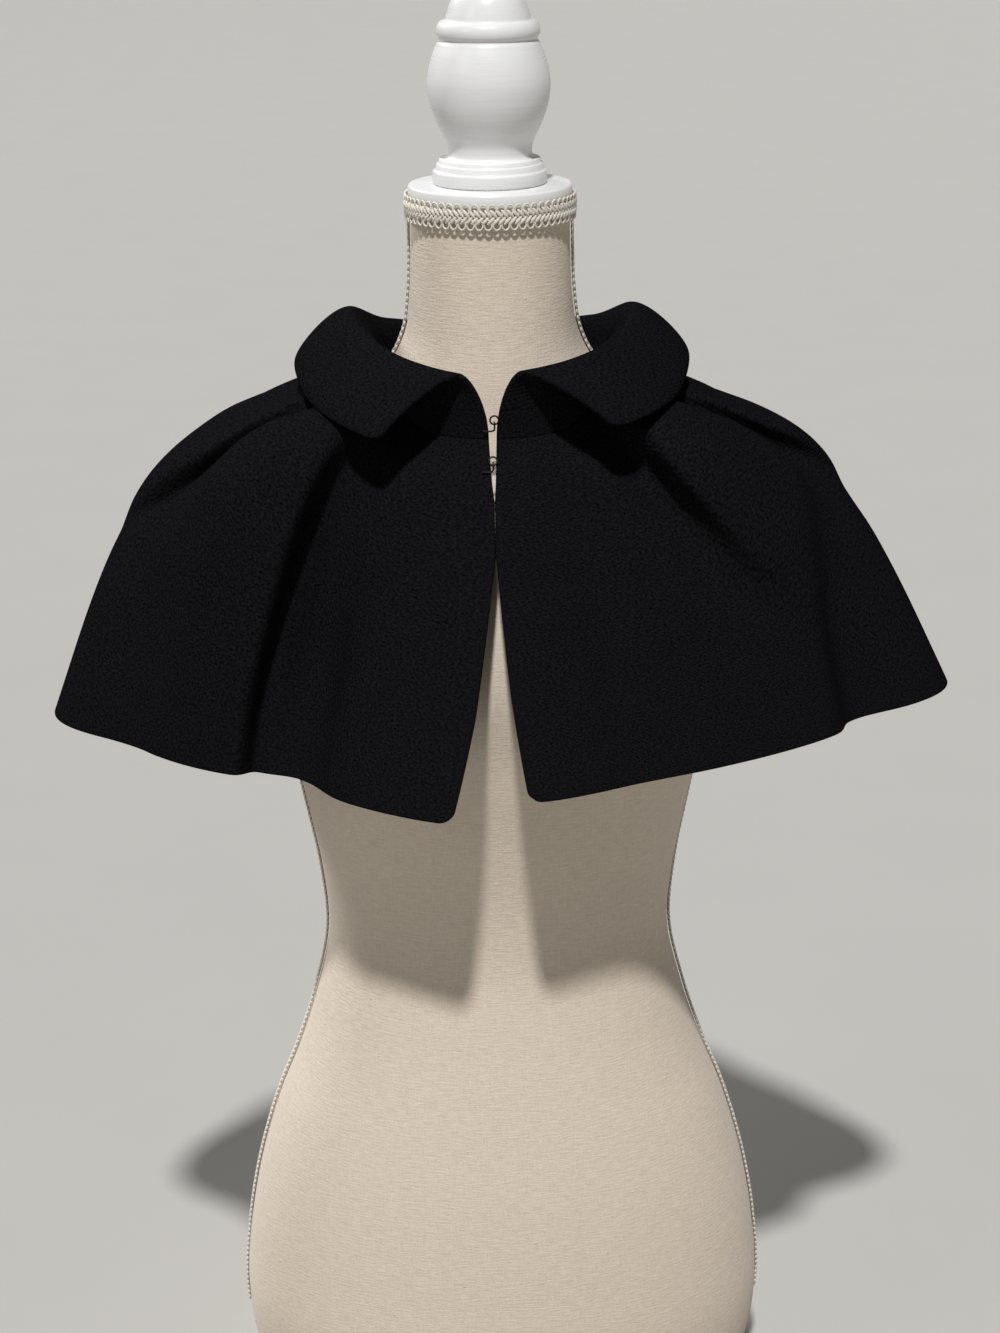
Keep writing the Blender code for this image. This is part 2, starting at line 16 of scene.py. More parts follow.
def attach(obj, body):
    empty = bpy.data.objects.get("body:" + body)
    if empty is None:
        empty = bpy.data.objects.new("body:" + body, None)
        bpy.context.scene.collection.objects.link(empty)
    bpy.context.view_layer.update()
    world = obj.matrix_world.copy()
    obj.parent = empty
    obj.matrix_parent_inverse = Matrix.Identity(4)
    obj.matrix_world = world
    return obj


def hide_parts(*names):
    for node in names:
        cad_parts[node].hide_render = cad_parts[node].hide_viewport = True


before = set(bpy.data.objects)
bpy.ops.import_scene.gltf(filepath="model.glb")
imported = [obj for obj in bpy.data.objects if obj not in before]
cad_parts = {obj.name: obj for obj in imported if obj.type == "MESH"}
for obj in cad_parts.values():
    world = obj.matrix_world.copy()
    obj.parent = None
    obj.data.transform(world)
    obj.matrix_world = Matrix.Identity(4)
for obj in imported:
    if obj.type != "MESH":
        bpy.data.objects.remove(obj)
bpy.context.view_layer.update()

bl_info = {
    "name": "Capelet on dress form",
    "version": (1, 0, 0),
    "blender": (4, 5, 0),
    "location": "3D View > Sidebar > Capelet",
    "description": "Wool capelet with a folded collar, worn on a linen dress form",
    "category": "Object",
}

SEAM_GAP = 0.0003
SEAT_GAP = 0.0005
# The panels lap by this much at the shoulder seams, so that no light comes through.
SEAM_LAP = 0.0006
RIGHT_EDGE = 2.9
RIGHT_SHOULDER = 92.0
LEFT_SHOULDER = 268.0
LEFT_EDGE = 360.0
# The fronts meet at the first of these shares of the length and part at the second.
FRONT_MEETS = 0.20
FRONT_PARTS = 0.36
FRONT_CORNER = 0.009
COLLAR_CORNER = 0.011
SHOULDER_NECK = 0.075
SHOULDER_HEM = 0.290
CAPE_LENGTH = 0.25
STAND_HEIGHT = 0.018
ROLL_ROUND = 0.006
FALL_TURN = 0.34
CAP_RADIUS = 0.0515
CAP_TOP = 0.8655
CAP_THICK = 0.0125
CAP_CHAMFER = 0.0012
NECK_TRIM_MIDDLE = 0.85225
NECK_TRIM_RADIUS = 0.0532
SIDE_TRIM_TOP = 0.8435
SIDE_TRIM_END = 0.062
WIRE = 0.00055
EYE_RADIUS = 0.0026
HOOK_REACH = 0.0068
HOOK_DROP = 0.0042
# Distance of each eye's middle from the left front edge.
UPPER_EYE_INSET = 0.0022
LOWER_EYE_INSET = 0.0020
# Where the hooks sit, as shares of the stand's height and of the cape's length, and
# between which shares the slope under the lower one is taken.
UPPER_HOOK_AT = 0.7
LOWER_HOOK_AT = 0.06
SLOPE_FROM = 0.02
SLOPE_TO = 0.12
CORD_RISE = 0.0011
STRANDS_PER_LOOP = 1.6

# Length of the fall from the stand to its edge, and from the roll to its edge.
FALL_RUN = 0.075
FALL_DEPTH = 0.06
# How far the handles of the collar's curves reach, as shares of its stand, fall and belly.
STAND_HANDLE = 0.55
FALL_HANDLE = 0.24
EDGE_LEAN = 0.25
# How slowly the front opening starts to widen, and how far the form's oval is squared.
OPENING_CURVE = 1.15
FORM_OVAL = 0.95

# Lines of a panel lie closer within so many degrees of a fold or a front edge.
FOLD_NEARBY = 9.0
FOLD_CROWDING = 0.03
EDGE_NEARBY = 3.0
EDGE_CROWDING = 5.0
# Rows and lines of points on the pieces, and steps along the paths.
PANEL_ROWS = 110
FRONT_LINES = 220
BACK_LINES = 230
COLLAR_LINES = 220
STAND_ROWS = 14
FALL_ROWS = 64
STAND_STEPS = 40
SPREAD_STEPS = 600
BODY_ROWS = 170
BODY_LINES = 192
CORD_STEPS = 400
RING_STEPS = 240
EYE_STEPS = 12
TURNED_STEPS = 96
RUN_STEPS = 8
# How far the collar's lines draw together at the fronts, as a share of its length.
COLLAR_EASE = 0.055
# How far a turned edge is eased on either side, and how close points are merged.
EDGE_EASE = 0.0004
MERGE = 0.00001
# Least opening of the fan that a panel is cut as, in radians.
LEAST_FAN = 0.02
# Steps in degrees and in shares of the length between which a direction is taken.
HANG_STEPS = (0.5, 0.01)
CLOTH_STEPS = (0.3, 0.006)

# Rounding of an edge, as a share of the full round: a free edge, and one that is sewn.
FREE = 1.0
SEWN = 0.35
# Rounding of a rim: how far in from the edge, in half walls, and how thick there.
RIM_INWARD = (0.0, 0.076, 0.293, 0.617, 1.0)
RIM_THICK = (0.0, 0.383, 0.707, 0.924, 1.0)

# Scale of a wave texture that draws one band in a metre.
ONE_BAND = 0.314
WHITE = (1.0, 1.0, 1.0)
COLOUR = {"min": 0.0, "max": 1.0, "subtype": "COLOR"}

FLOOR_REACH = 40.0
FLOOR_UPSTAND = 12.0
LAMP_REACH = 4.0
# The photograph's camera: its lens in pixels, the picture's longer side, its aim and reach.
SENSOR = 36.0
LENS_PIXELS = 2500.0
PICTURE_PIXELS = 1333.0
CAMERA_TILT = radians(19.5)
CAMERA_YAW = radians(-1.5)
CAMERA_ROLL = radians(-0.63)
CAMERA_AIM = (0.003, 0.0, 0.545)
CAMERA_REACH = 1.6675

Level = namedtuple("Level", "name height half_width front back")
FORM_LEVELS = (
    Level("underside", 0.0000, 0.1280, 0.0560, 0.0620),
    Level("lower edge", 0.0040, 0.1480, 0.0760, 0.0820),
    Level("lower curve", 0.0140, 0.1650, 0.0930, 0.0990),
    Level("lower side", 0.0300, 0.1770, 0.1040, 0.1100),
    Level("hip", 0.0750, 0.1835, 0.1110, 0.1170),
    Level("upper hip", 0.1250, 0.1800, 0.1110, 0.1160),
    Level("high hip", 0.1650, 0.1735, 0.1095, 0.1125),
    Level("belly", 0.2000, 0.1650, 0.1070, 0.1080),
    Level("upper belly", 0.2350, 0.1540, 0.1030, 0.1020),
    Level("low waist", 0.2700, 0.1400, 0.0985, 0.0960),
    Level("under waist", 0.3100, 0.1270, 0.0930, 0.0890),
    Level("waist", 0.3580, 0.1165, 0.0880, 0.0820),
    Level("over waist", 0.4050, 0.1195, 0.0910, 0.0830),
    Level("ribs", 0.4550, 0.1285, 0.1000, 0.0880),
    Level("under bust", 0.5050, 0.1380, 0.1110, 0.0940),
    Level("bust", 0.5650, 0.1470, 0.1210, 0.0990),
    Level("chest", 0.6200, 0.1550, 0.1110, 0.1020),
    Level("arm plate", 0.6500, 0.1650, 0.0985, 0.1010),
    Level("shoulder tip", 0.6770, 0.1790, 0.0890, 0.0940),
    Level("shoulder end", 0.6904, 0.1755, 0.0836, 0.0890),
    Level("shoulder", 0.6990, 0.1610, 0.0785, 0.0840),
    Level("mid shoulder", 0.7100, 0.1370, 0.0755, 0.0790),
    Level("inner shoulder", 0.7230, 0.1070, 0.0700, 0.0730),
    Level("neck root", 0.7380, 0.0810, 0.0650, 0.0670),
    Level("neck base", 0.7550, 0.0640, 0.0600, 0.0610),
    Level("lower neck", 0.7750, 0.0545, 0.0550, 0.0555),
    Level("neck", 0.8000, 0.0510, 0.0520, 0.0525),
    Level("upper neck", 0.8300, 0.0500, 0.0503, 0.0503),
    Level("neck top", 0.8525, 0.0500, 0.0500, 0.0500),
)

# The hang of the cape without its folds, one row for each line from neck to hem.
Hang = namedtuple(
    "Hang",
    "neck_at meet_at hem_at neck_r neck_z bend_r bend_z hem_r hem_z soft",
)
CAPE_HANGS = (
    Hang(2.9, 1.02, 10.0, 0.0920, 0.7240, 0.1260, 0.6640, 0.1836, 0.508, 0.60),
    Hang(30, 30.0, 31.0, 0.0870, 0.7270, 0.1180, 0.6900, 0.1790, 0.511, 0.50),
    Hang(54, 53.0, 52.0, 0.0800, 0.7450, 0.1350, 0.7080, 0.1790, 0.514, 0.40),
    Hang(74, 74.0, 74.0, 0.0755, 0.7550, 0.1780, 0.7000, 0.2340, 0.516, 0.35),
    Hang(92, 91.0, 90.0, 0.0750, 0.7580, 0.2040, 0.6840, 0.2930, 0.518, 0.30),
    Hang(118, 118, 118, 0.0770, 0.7480, 0.1900, 0.7000, 0.2460, 0.518, 0.35),
    Hang(150, 150, 150, 0.0820, 0.7330, 0.1480, 0.7000, 0.1900, 0.518, 0.45),
    Hang(180, 180, 180, 0.0840, 0.7280, 0.1300, 0.6950, 0.1680, 0.518, 0.50),
    Hang(210, 210, 210, 0.0820, 0.7330, 0.1480, 0.7000, 0.1900, 0.519, 0.45),
    Hang(242, 242, 242, 0.0770, 0.7480, 0.1900, 0.7000, 0.2500, 0.521, 0.35),
    Hang(268, 269, 270, 0.0750, 0.7580, 0.2070, 0.6850, 0.3010, 0.527, 0.30),
    Hang(286, 286, 285, 0.0755, 0.7550, 0.1810, 0.7010, 0.2420, 0.525, 0.35),
    Hang(306, 306, 303, 0.0800, 0.7450, 0.1400, 0.7080, 0.2030, 0.522, 0.40),
    Hang(330, 330, 328, 0.0870, 0.7270, 0.1180, 0.6900, 0.1730, 0.520, 0.50),
    Hang(360, 360.98, 355.2, 0.0920, 0.7240, 0.1250, 0.6650, 0.1812, 0.521, 0.60),
)

# Folds and creases of the cape, one row each: where the line runs and bows, how far it
# stands out at the neck, at one third, at two thirds and at the hem, how wide it is on
# either side, and how far it leans over for each metre that it stands out.
Fold = namedtuple(
    "Fold",
    "name neck_at hem_at bow neck third two_thirds hem before after lean",
)
CAPE_FOLDS = (
    Fold("right front groove", 43, 50, 3, -0.003, -0.0095, -0.015, -0.007, 0.050, 0.022, 0.0),
    Fold("right front roll", 55, 64, 4, -0.007, 0.020, 0.024, 0.019, 0.022, 0.080, -1.0),
    Fold("right side roll", 62, 92, 0, 0.002, 0.005, 0.001, 0.0, 0.060, 0.022, 0.3),
    Fold("right shoulder groove", 63, 118, 0, -0.002, -0.006, 0.0, 0.0, 0.018, 0.016, 0.0),
    Fold("right shoulder lip", 74, 114, 0, -0.001, 0.006, 0.0, 0.0, 0.016, 0.045, -2.3),
    Fold("right shoulder roll", 106, 93, 0, 0.001, 0.011, 0.015, 0.001, 0.050, 0.060, 0.0),
    Fold("right back roll", 122, 126, 0, 0.001, 0.006, 0.011, 0.014, 0.045, 0.040, 0.2),
    Fold("right back groove", 143, 150, 0, 0.0, -0.003, -0.007, -0.010, 0.040, 0.045, 0.0),
    Fold("centre back roll", 182, 178, 0, 0.0, 0.003, 0.008, 0.012, 0.055, 0.060, 0.0),
    Fold("left back groove", 213, 207, 0, 0.0, -0.003, -0.006, -0.009, 0.042, 0.045, 0.0),
    Fold("left back roll", 236, 231, 0, 0.001, 0.007, 0.010, 0.013, 0.045, 0.045, -0.2),
    Fold("left side groove", 252, 286, 7, 0.0, -0.001, -0.004, -0.006, 0.044, 0.028, 0.0),
    Fold("left front roll", 262, 294.5, 7, 0.0, 0.001, 0.007, 0.010, 0.034, 0.070, 0.0),
    Fold("left shoulder roll", 253, 268, 0, 0.001, 0.007, 0.011, 0.002, 0.060, 0.050, 0.0),
    Fold("left shoulder lip", 287, 252, -9, -0.001, 0.006, 0.0, 0.0, 0.045, 0.016, 2.3),
    Fold("left shoulder groove", 300, 262, -14, -0.002, -0.006, 0.0, 0.0, 0.016, 0.018, 0.0),
    Fold("left side roll", 298, 270, -4, 0.002, 0.004, 0.001, 0.0, 0.022, 0.055, -0.3),
    Fold("left upper roll", 305, 272, 9, 0.0, 0.013, 0.002, 0.0, 0.050, 0.018, 1.0),
    Fold("left front groove", 313, 278, 11.5, -0.003, -0.012, -0.002, 0.0, 0.018, 0.026, 0.0),
)
CAPE_CREASES = (
    Fold("right front hollow", 26, 33, 2, 0.0, -0.0010, -0.0013, -0.0005, 0.026, 0.026, 0.0),
    Fold("left front hollow", 337, 334, -1, 0.0, -0.0012, -0.0018, -0.0006, 0.020, 0.024, 0.0),
    Fold("right blade crease", 108, 106, 1, 0.0, -0.0014, -0.0022, -0.001, 0.016, 0.022, 0.0),
    Fold("right back crease", 164, 167, 2, 0.0, -0.0008, -0.0020, -0.0030, 0.018, 0.024, 0.0),
    Fold("left back crease", 197, 192, -2, 0.0, -0.0012, -0.0016, -0.0024, 0.022, 0.017, 0.0),
    Fold("left blade crease", 252, 255, -1, 0.0, -0.0016, -0.0018, -0.0008, 0.020, 0.016, 0.0),
)

# The folded collar, one row for each section: the neck seam below it, the roll line
# and the outer edge, with the fullness of the fall.
Turn = namedtuple("Turn", "neck_at roll_at roll_r roll_z edge_at edge_r edge_z belly")
COLLAR_TURNS = (
    Turn(2.9, 12.6, 0.1000, 0.7650, 33.0, 0.1290, 0.7285, 0.004),
    Turn(30, 32.0, 0.0920, 0.7680, 47.0, 0.1270, 0.7330, 0.005),
    Turn(58, 58.0, 0.0880, 0.7745, 67.0, 0.1240, 0.7400, 0.006),
    Turn(88, 90.0, 0.0905, 0.7870, 92.0, 0.1245, 0.7530, 0.006),
    Turn(130, 128, 0.0850, 0.7690, 130, 0.1250, 0.7370, 0.006),
    Turn(180, 180, 0.0890, 0.7570, 180, 0.1260, 0.7170, 0.006),
    Turn(230, 232, 0.0850, 0.7690, 230, 0.1250, 0.7370, 0.006),
    Turn(272, 270, 0.0905, 0.7870, 268, 0.1245, 0.7550, 0.006),
    Turn(302, 302, 0.0880, 0.7745, 293, 0.1240, 0.7420, 0.006),
    Turn(330, 328, 0.0915, 0.7690, 313, 0.1270, 0.7370, 0.005),
    Turn(360, 351.5, 0.0985, 0.7660, 327.5, 0.1280, 0.7340, 0.004),
)

# Turned profiles, one row for each height on the outer side, top to bottom. The cut runs
# smoothly from one edge to the next.
Turned = namedtuple("Turned", "radius height edge")
FINIAL = (
    Turned(0.0000, 0.9900, False),
    Turned(0.0090, 0.9885, False),
    Turned(0.0175, 0.9835, False),
    Turned(0.0226, 0.9760, False),
    Turned(0.0256, 0.9680, False),
    Turned(0.0263, 0.9645, True),
    Turned(0.0298, 0.9636, False),
    Turned(0.0318, 0.9600, False),
    Turned(0.0317, 0.9560, False),
    Turned(0.0300, 0.9533, True),
    Turned(0.0318, 0.9510, True),
    Turned(0.0350, 0.9430, False),
    Turned(0.0374, 0.9340, False),
    Turned(0.0382, 0.9260, False),
    Turned(0.0372, 0.9160, False),
    Turned(0.0348, 0.9075, False),
    Turned(0.0308, 0.8985, False),
    Turned(0.0272, 0.8905, False),
    Turned(0.0266, 0.8860, False),
    Turned(0.0270, 0.8828, False),
    Turned(0.0284, 0.8813, True),
    Turned(0.0316, 0.8812, True),
    Turned(0.0318, 0.8784, True),
    Turned(0.0333, 0.8780, True),
    Turned(0.0335, 0.8744, True),
    Turned(0.0355, 0.8738, True),
    Turned(0.0358, 0.8700, False),
    Turned(0.0354, CAP_TOP + SEAM_GAP, True),
    Turned(0.0000, CAP_TOP + SEAM_GAP, False),
)
NECK_CAP = (
    Turned(0.0, CAP_TOP, False),
    Turned(CAP_RADIUS - CAP_CHAMFER, CAP_TOP, True),
    Turned(CAP_RADIUS, CAP_TOP - CAP_CHAMFER, True),
    Turned(CAP_RADIUS, CAP_TOP - CAP_THICK, True),
    Turned(0.0, CAP_TOP - CAP_THICK, False),
)


def linear(code):
    """Linear colour of an sRGB hex code."""
    parts = [int(code[i:i + 2], 16) / 255.0 for i in (1, 3, 5)]
    return [c / 12.92 if c <= 0.04045 else ((c + 0.055) / 1.055) ** 2.4 for c in parts]


class CapeletSettings(bpy.types.PropertyGroup):
    """Cloth of the capelet and its fastenings."""

    cape_wall: FloatProperty(
        name="Cape thickness",
        description="Thickness of the cape's wool with its lining",
        default=0.0024,
        min=0.001,
        max=0.003,
        unit="LENGTH",
    )
    collar_wall: FloatProperty(
        name="Collar thickness",
        description="Thickness of the collar's two layers of wool",
        default=0.0032,
        min=0.001,
        max=0.004,
        unit="LENGTH",
    )
    crease_depth: FloatProperty(
        name="Crease depth",
        description="Depth of the small creases, as a share of their drawn depth",
        default=1.0,
        min=0.0,
        max=2.0,
        subtype="FACTOR",
    )
    wool_colour: FloatVectorProperty(
        name="Wool colour",
        description="Colour of the wool",
        default=linear("#131315"),
        **COLOUR,
    )
    wire_colour: FloatVectorProperty(
        name="Wire colour",
        description="Colour of the hooks and eyes",
        default=linear("#0a0a0b"),
        **COLOUR,
    )


class DressFormSettings(bpy.types.PropertyGroup):
    """Dress form with its painted turnings and braids."""

    linen_colour: FloatVectorProperty(
        name="Linen colour",
        description="Colour of the form's cover",
        default=linear("#d8cab9"),
        **COLOUR,
    )
    paint_colour: FloatVectorProperty(
        name="Paint colour",
        description="Colour of the neck cap and the finial",
        default=linear("#e4e4e4"),
        **COLOUR,
    )
    braid_colour: FloatVectorProperty(
        name="Braid colour",
        description="Colour of the neck braid and the side cords",
        default=linear("#ded8ca"),
        **COLOUR,
    )
    loop_pitch: FloatProperty(
        name="Loop pitch",
        description="Distance from loop to loop along the neck braid",
        default=0.0054,
        min=0.003,
        max=0.012,
        unit="LENGTH",
    )
    cord_pitch: FloatProperty(
        name="Cord pitch",
        description="Distance from strand to strand along a side cord",
        default=0.0040,
        min=0.002,
        max=0.010,
        unit="LENGTH",
    )


class StageSettings(bpy.types.PropertyGroup):
    """Floor and lights."""

    floor_colour: FloatVectorProperty(
        name="Floor colour",
        description="Colour of the paper on the floor",
        default=linear("#aaa8a4"),
        **COLOUR,
    )
    key_strength: FloatProperty(
        name="Key light",
        description="Strength of the light above the front",
        default=3.5,
        min=0.0,
    )
    side_strength: FloatProperty(
        name="Side light",
        description="Strength of the weak light at the front of the wearer's right",
        default=0.20,
        min=0.0,
    )
    back_strength: FloatProperty(
        name="Back light",
        description="Strength of the light at the back of the wearer's right",
        default=1.8,
        min=0.0,
    )
    fill_strength: FloatProperty(
        name="Fill",
        description="Strength of the even light from all round",
        default=0.005,
        min=0.0,
    )


def spline(knots, values, at):
    """Smooth values at places along the knots."""
    knots = np.asarray(knots, float)
    values = np.asarray(values, float)
    slopes = np.empty_like(values)
    slopes[1:-1] = (values[2:] - values[:-2]) / (knots[2:] - knots[:-2])
    slopes[0] = (values[1] - values[0]) / (knots[1] - knots[0])
    slopes[-1] = (values[-1] - values[-2]) / (knots[-1] - knots[-2])
    i = np.clip(np.searchsorted(knots, at) - 1, 0, len(knots) - 2)
    span = knots[i + 1] - knots[i]
    t = np.clip((at - knots[i]) / span, 0.0, 1.0)
    start = (1 + 2 * t) * (1 - t) ** 2 * values[i] + t * (1 - t) ** 2 * span * slopes[i]
    end = t * t * (3 - 2 * t) * values[i + 1] + t * t * (t - 1) * span * slopes[i + 1]
    return start + end


def row_at(rows, key, at):
    """Rows of a table at any places along its key column."""
    knots = [getattr(row, key) for row in rows]
    columns = [spline(knots, column, at) for column in zip(*rows)]
    return type(rows[0])(*columns)


def around(azimuth, radius, height):
    """Points at azimuths, distances from the axis and heights."""
    angle = np.radians(azimuth)
    return np.stack((-radius * np.sin(angle), -radius * np.cos(angle), height), -1)


def length(vectors):
    """Length of each vector, kept as a last axis of one."""
    return np.linalg.norm(vectors, axis=-1, keepdims=True)


def distances(points, axis=0):
    """Distances along lines of points, from nought at the first."""
    steps = length(np.diff(points, axis=axis))[..., 0]
    start = np.zeros_like(np.take(steps, [0], axis=axis))
    return np.concatenate((start, np.cumsum(steps, axis=axis)), axis=axis)


def facing(place, at, v, steps):
    """Directions that a cloth's outer side faces, and those that run sideways along it."""
    turn, share = steps
    side = place(np.minimum(LEFT_EDGE, at + turn), v) - place(np.maximum(RIGHT_EDGE, at - turn), v)
    down = place(at, np.minimum(1.0, v + share)) - place(at, np.maximum(0.0, v - share))
    out = np.cross(side, down)
    return out / length(out), side / length(side)


def corner_drop(inward, corner):
    """How far an edge draws back at a distance in from its rounded corner."""
    left = np.clip(corner - inward, 0.0, corner)
    return corner - np.sqrt(corner ** 2 - left ** 2)


def hang_points(at, v):
    """Points of the unfolded cape, v from 0 at the neck to 1 at the hem."""
    row = row_at(CAPE_HANGS, "neck_at", at)
    closed = np.clip(v / FRONT_MEETS, 0.0, 1.0)
    opened = np.clip((v - FRONT_PARTS) / (1.0 - FRONT_PARTS), 0.0, 1.0) ** OPENING_CURVE
    azimuth = row.neck_at + (row.meet_at - row.neck_at) * closed
    azimuth = azimuth + (row.hem_at - row.meet_at) * opened
    neck = np.stack((row.neck_r, row.neck_z), -1)
    bend = np.stack((row.bend_r, row.bend_z), -1)
    hem = np.stack((row.hem_r, row.hem_z), -1)
    soft = row.soft[..., None]
    upper = length(bend - neck)
    lower = length(hem - bend)
    run = v[..., None] * (upper + lower)
    start = upper * (1.0 - soft)
    end = upper + lower * soft
    t = np.clip((run - start) / (end - start), 0.0, 1.0)
    entry = neck + (bend - neck) * (1.0 - soft)
    leave = bend + (hem - bend) * soft
    turning = (entry + (bend - entry) * t) * (1.0 - t) + (bend + (leave - bend) * t) * t
    shoulder = neck + (bend - neck) * (run / upper)
    skirt = bend + (hem - bend) * ((run - upper) / lower)
    spot = np.where(run < start, shoulder, np.where(run > end, skirt, turning))
    return around(azimuth, spot[..., 0], spot[..., 1])


def cape_points(at, v):
    """Middle of the cape's wall with its folds and creases."""
    point = hang_points(at, v)
    out, side = facing(hang_points, at, v, HANG_STEPS)
    radius = np.hypot(point[..., 0], point[..., 1])
    rise = np.zeros_like(v)
    lean = np.zeros_like(v)
    depth = bpy.context.scene.capelet_cloth.crease_depth
    for fold in CAPE_FOLDS + CAPE_CREASES:
        line = fold.neck_at + (fold.hem_at - fold.neck_at) * v + fold.bow * 4.0 * v * (1.0 - v)
        away = np.radians(at - line) * radius
        reach = np.where(away < 0.0, fold.before, fold.after)
        share = np.minimum(np.abs(away) / reach, 1.0)
        sizes = (fold.neck, fold.third, fold.two_thirds, fold.hem)
        swell = spline((0.0, 0.33, 0.67, 1.0), sizes, v) * np.cos(share * pi / 2.0) ** 2
        if fold in CAPE_CREASES:
            swell = swell * depth
        rise += swell
        lean += swell * fold.lean
    return point + out * rise[..., None] + side * lean[..., None]


def crowding(at):
    """How close together the lines of the cape run at a place."""
    weight = 1.0
    for fold in CAPE_FOLDS:
        steep = min(fold.before, fold.after)
        share = abs(at - 0.5 * (fold.neck_at + fold.hem_at)) / FOLD_NEARBY
        if share < 1.0:
            weight += FOLD_CROWDING / steep * (1.0 - share)
    for edge in (RIGHT_EDGE, LEFT_EDGE):
        weight += max(0.0, EDGE_CROWDING * (1.0 - abs(at - edge) / EDGE_NEARBY))
    return weight


def spread(top_ends, hem_ends, count):
    """Lines across a panel, closer together at the folds and running along them."""
    lines = [(top_ends[0], hem_ends[0], 0.0)]
    for fold in CAPE_FOLDS:
        inside = top_ends[0] + 2.0 < fold.neck_at < top_ends[1] - 2.0
        if inside and lines[-1][1] + 1.0 < fold.hem_at < hem_ends[1] - 1.0:
            lines.append((fold.neck_at, fold.hem_at, fold.bow))
    lines.append((top_ends[1], hem_ends[1], 0.0))
    lines = np.array(lines)
    middles = 0.5 * (lines[:, 0] + lines[:, 1])
    places = np.linspace(middles[0], middles[-1], SPREAD_STEPS + 1)
    weights = np.array([crowding(at) for at in 0.5 * (places[1:] + places[:-1])])
    total = np.concatenate(((0.0,), np.cumsum(weights)))
    chosen = np.interp(np.linspace(0.0, total[-1], count + 1), total, places)
    return np.stack([np.interp(chosen, middles, column) for column in lines.T], -1)


def hem_share(at):
    """How far down the cape reaches, less at the rounded front corners."""
    edge = np.where(at < 180.0, RIGHT_EDGE, LEFT_EDGE)
    hem = np.ones_like(at)
    inward = np.linalg.norm(hang_points(at, hem) - hang_points(edge, hem), axis=-1)
    return 1.0 - corner_drop(inward, FRONT_CORNER) / CAPE_LENGTH


def neck_seam(at):
    """Lower edge of the collar stand, just clear of the neck edge of the cape."""
    top = np.zeros_like(at)
    out, _ = facing(hang_points, at, top, HANG_STEPS)
    seam = cape_points(at, top)
    wall = bpy.context.scene.capelet_cloth.cape_wall
    seam[..., 2] += 0.5 * wall * out[..., 2] - 1.5 * SEAM_GAP
    return seam


def bezier(points, t):
    """Points on curves with two handles."""
    a, b, c, d = points
    t = t[..., None]
    s = 1.0 - t
    return a * s ** 3 + b * (3 * s * s * t) + c * (3 * s * t * t) + d * t ** 3


def collar_curves(at):
    """Stand and fall of the collar at its sections, each with two handles."""
    row = row_at(COLLAR_TURNS, "neck_at", at)
    up = np.array((0.0, 0.0, 1.0))
    neck = neck_seam(at)
    roll = around(row.roll_at, row.roll_r, row.roll_z)
    edge = around(row.edge_at, row.edge_r, row.edge_z)
    over = (edge - roll) * (1.0, 1.0, 0.0)
    over = over / length(over)
    rise = (roll - neck)[..., 2:]
    belly = row.belly[..., None]
    stand = (neck, neck + up * (rise * STAND_HANDLE), roll - over * ROLL_ROUND, roll)
    fall_handle = roll + over * (length(edge - roll) * FALL_HANDLE)
    edge_handle = edge + up * belly + over * (belly * EDGE_LEAN)
    return stand, (roll, fall_handle, edge_handle, edge)


def stand_share(stand):
    """Share of the rising curve that is the separate stand."""
    steps = np.linspace(0.0, 1.0, STAND_STEPS + 1)
    shape = stand[0].shape[:-1]
    points = np.stack([bezier(stand, np.full(shape, t)) for t in steps])
    flat = distances(points).reshape(len(steps), -1)
    shares = [np.interp(STAND_HEIGHT, flat[:, i], steps) for i in range(flat.shape[1])]
    return np.minimum(np.array(shares), 0.9).reshape(shape)


def stand_points(at, t):
    """Middle of the collar stand's wall."""
    stand, _ = collar_curves(at)
    return bezier(stand, stand_share(stand) * t)


def fall_points(at, t):
    """Middle of the collar fall's wall, from the stand over the roll to the edge."""
    stand, fall = collar_curves(at)
    low = stand_share(stand) - SEAM_GAP / STAND_HEIGHT
    rising = bezier(stand, low + (1.0 - low) * np.clip(t / FALL_TURN, 0.0, 1.0))
    falling = bezier(fall, np.clip((t - FALL_TURN) / (1.0 - FALL_TURN), 0.0, 1.0))
    return np.where((t < FALL_TURN)[..., None], rising, falling)


def fall_share(at):
    """How far the fall reaches, less at its rounded corners."""
    front = np.where(at < 180.0, RIGHT_EDGE, LEFT_EDGE)
    inward = np.linalg.norm(collar_curves(at)[1][3] - collar_curves(front)[1][3], axis=-1)
    return 1.0 - (1.0 - FALL_TURN) * corner_drop(inward, COLLAR_CORNER) / FALL_DEPTH


def whole(at):
    """A piece that runs its full length."""
    return np.ones_like(at)


def node(tree, kind, inputs=None, **settings):
    """One node of a tree, with its settings and what feeds it."""
    made = tree.nodes.new(kind)
    for key, value in settings.items():
        setattr(made, key, value)
    for key, value in (inputs or {}).items():
        if isinstance(value, bpy.types.NodeSocket):
            tree.links.new(value, made.inputs[key])
        else:
            made.inputs[key].default_value = value
    return made


def new_material(name):
    """Empty material with its output, ready for a shader."""
    made = bpy.data.materials.new(name)
    made.use_nodes = True
    made.node_tree.nodes.clear()
    return made, made.node_tree


def scaled(colour, share):
    """Colour made darker or lighter."""
    return (*[min(1.0, part * share) for part in colour], 1.0)


def coat(tree, look, relief=None):
    """Join a shader with its look and its relief to the output of a material."""
    if relief:
        bump = node(tree, "ShaderNodeBump", relief)
        look = dict(look, Normal=bump.outputs[0])
    shader = node(tree, "ShaderNodeBsdfPrincipled", look)
    node(tree, "ShaderNodeOutputMaterial", {"Surface": shader.outputs[0]})


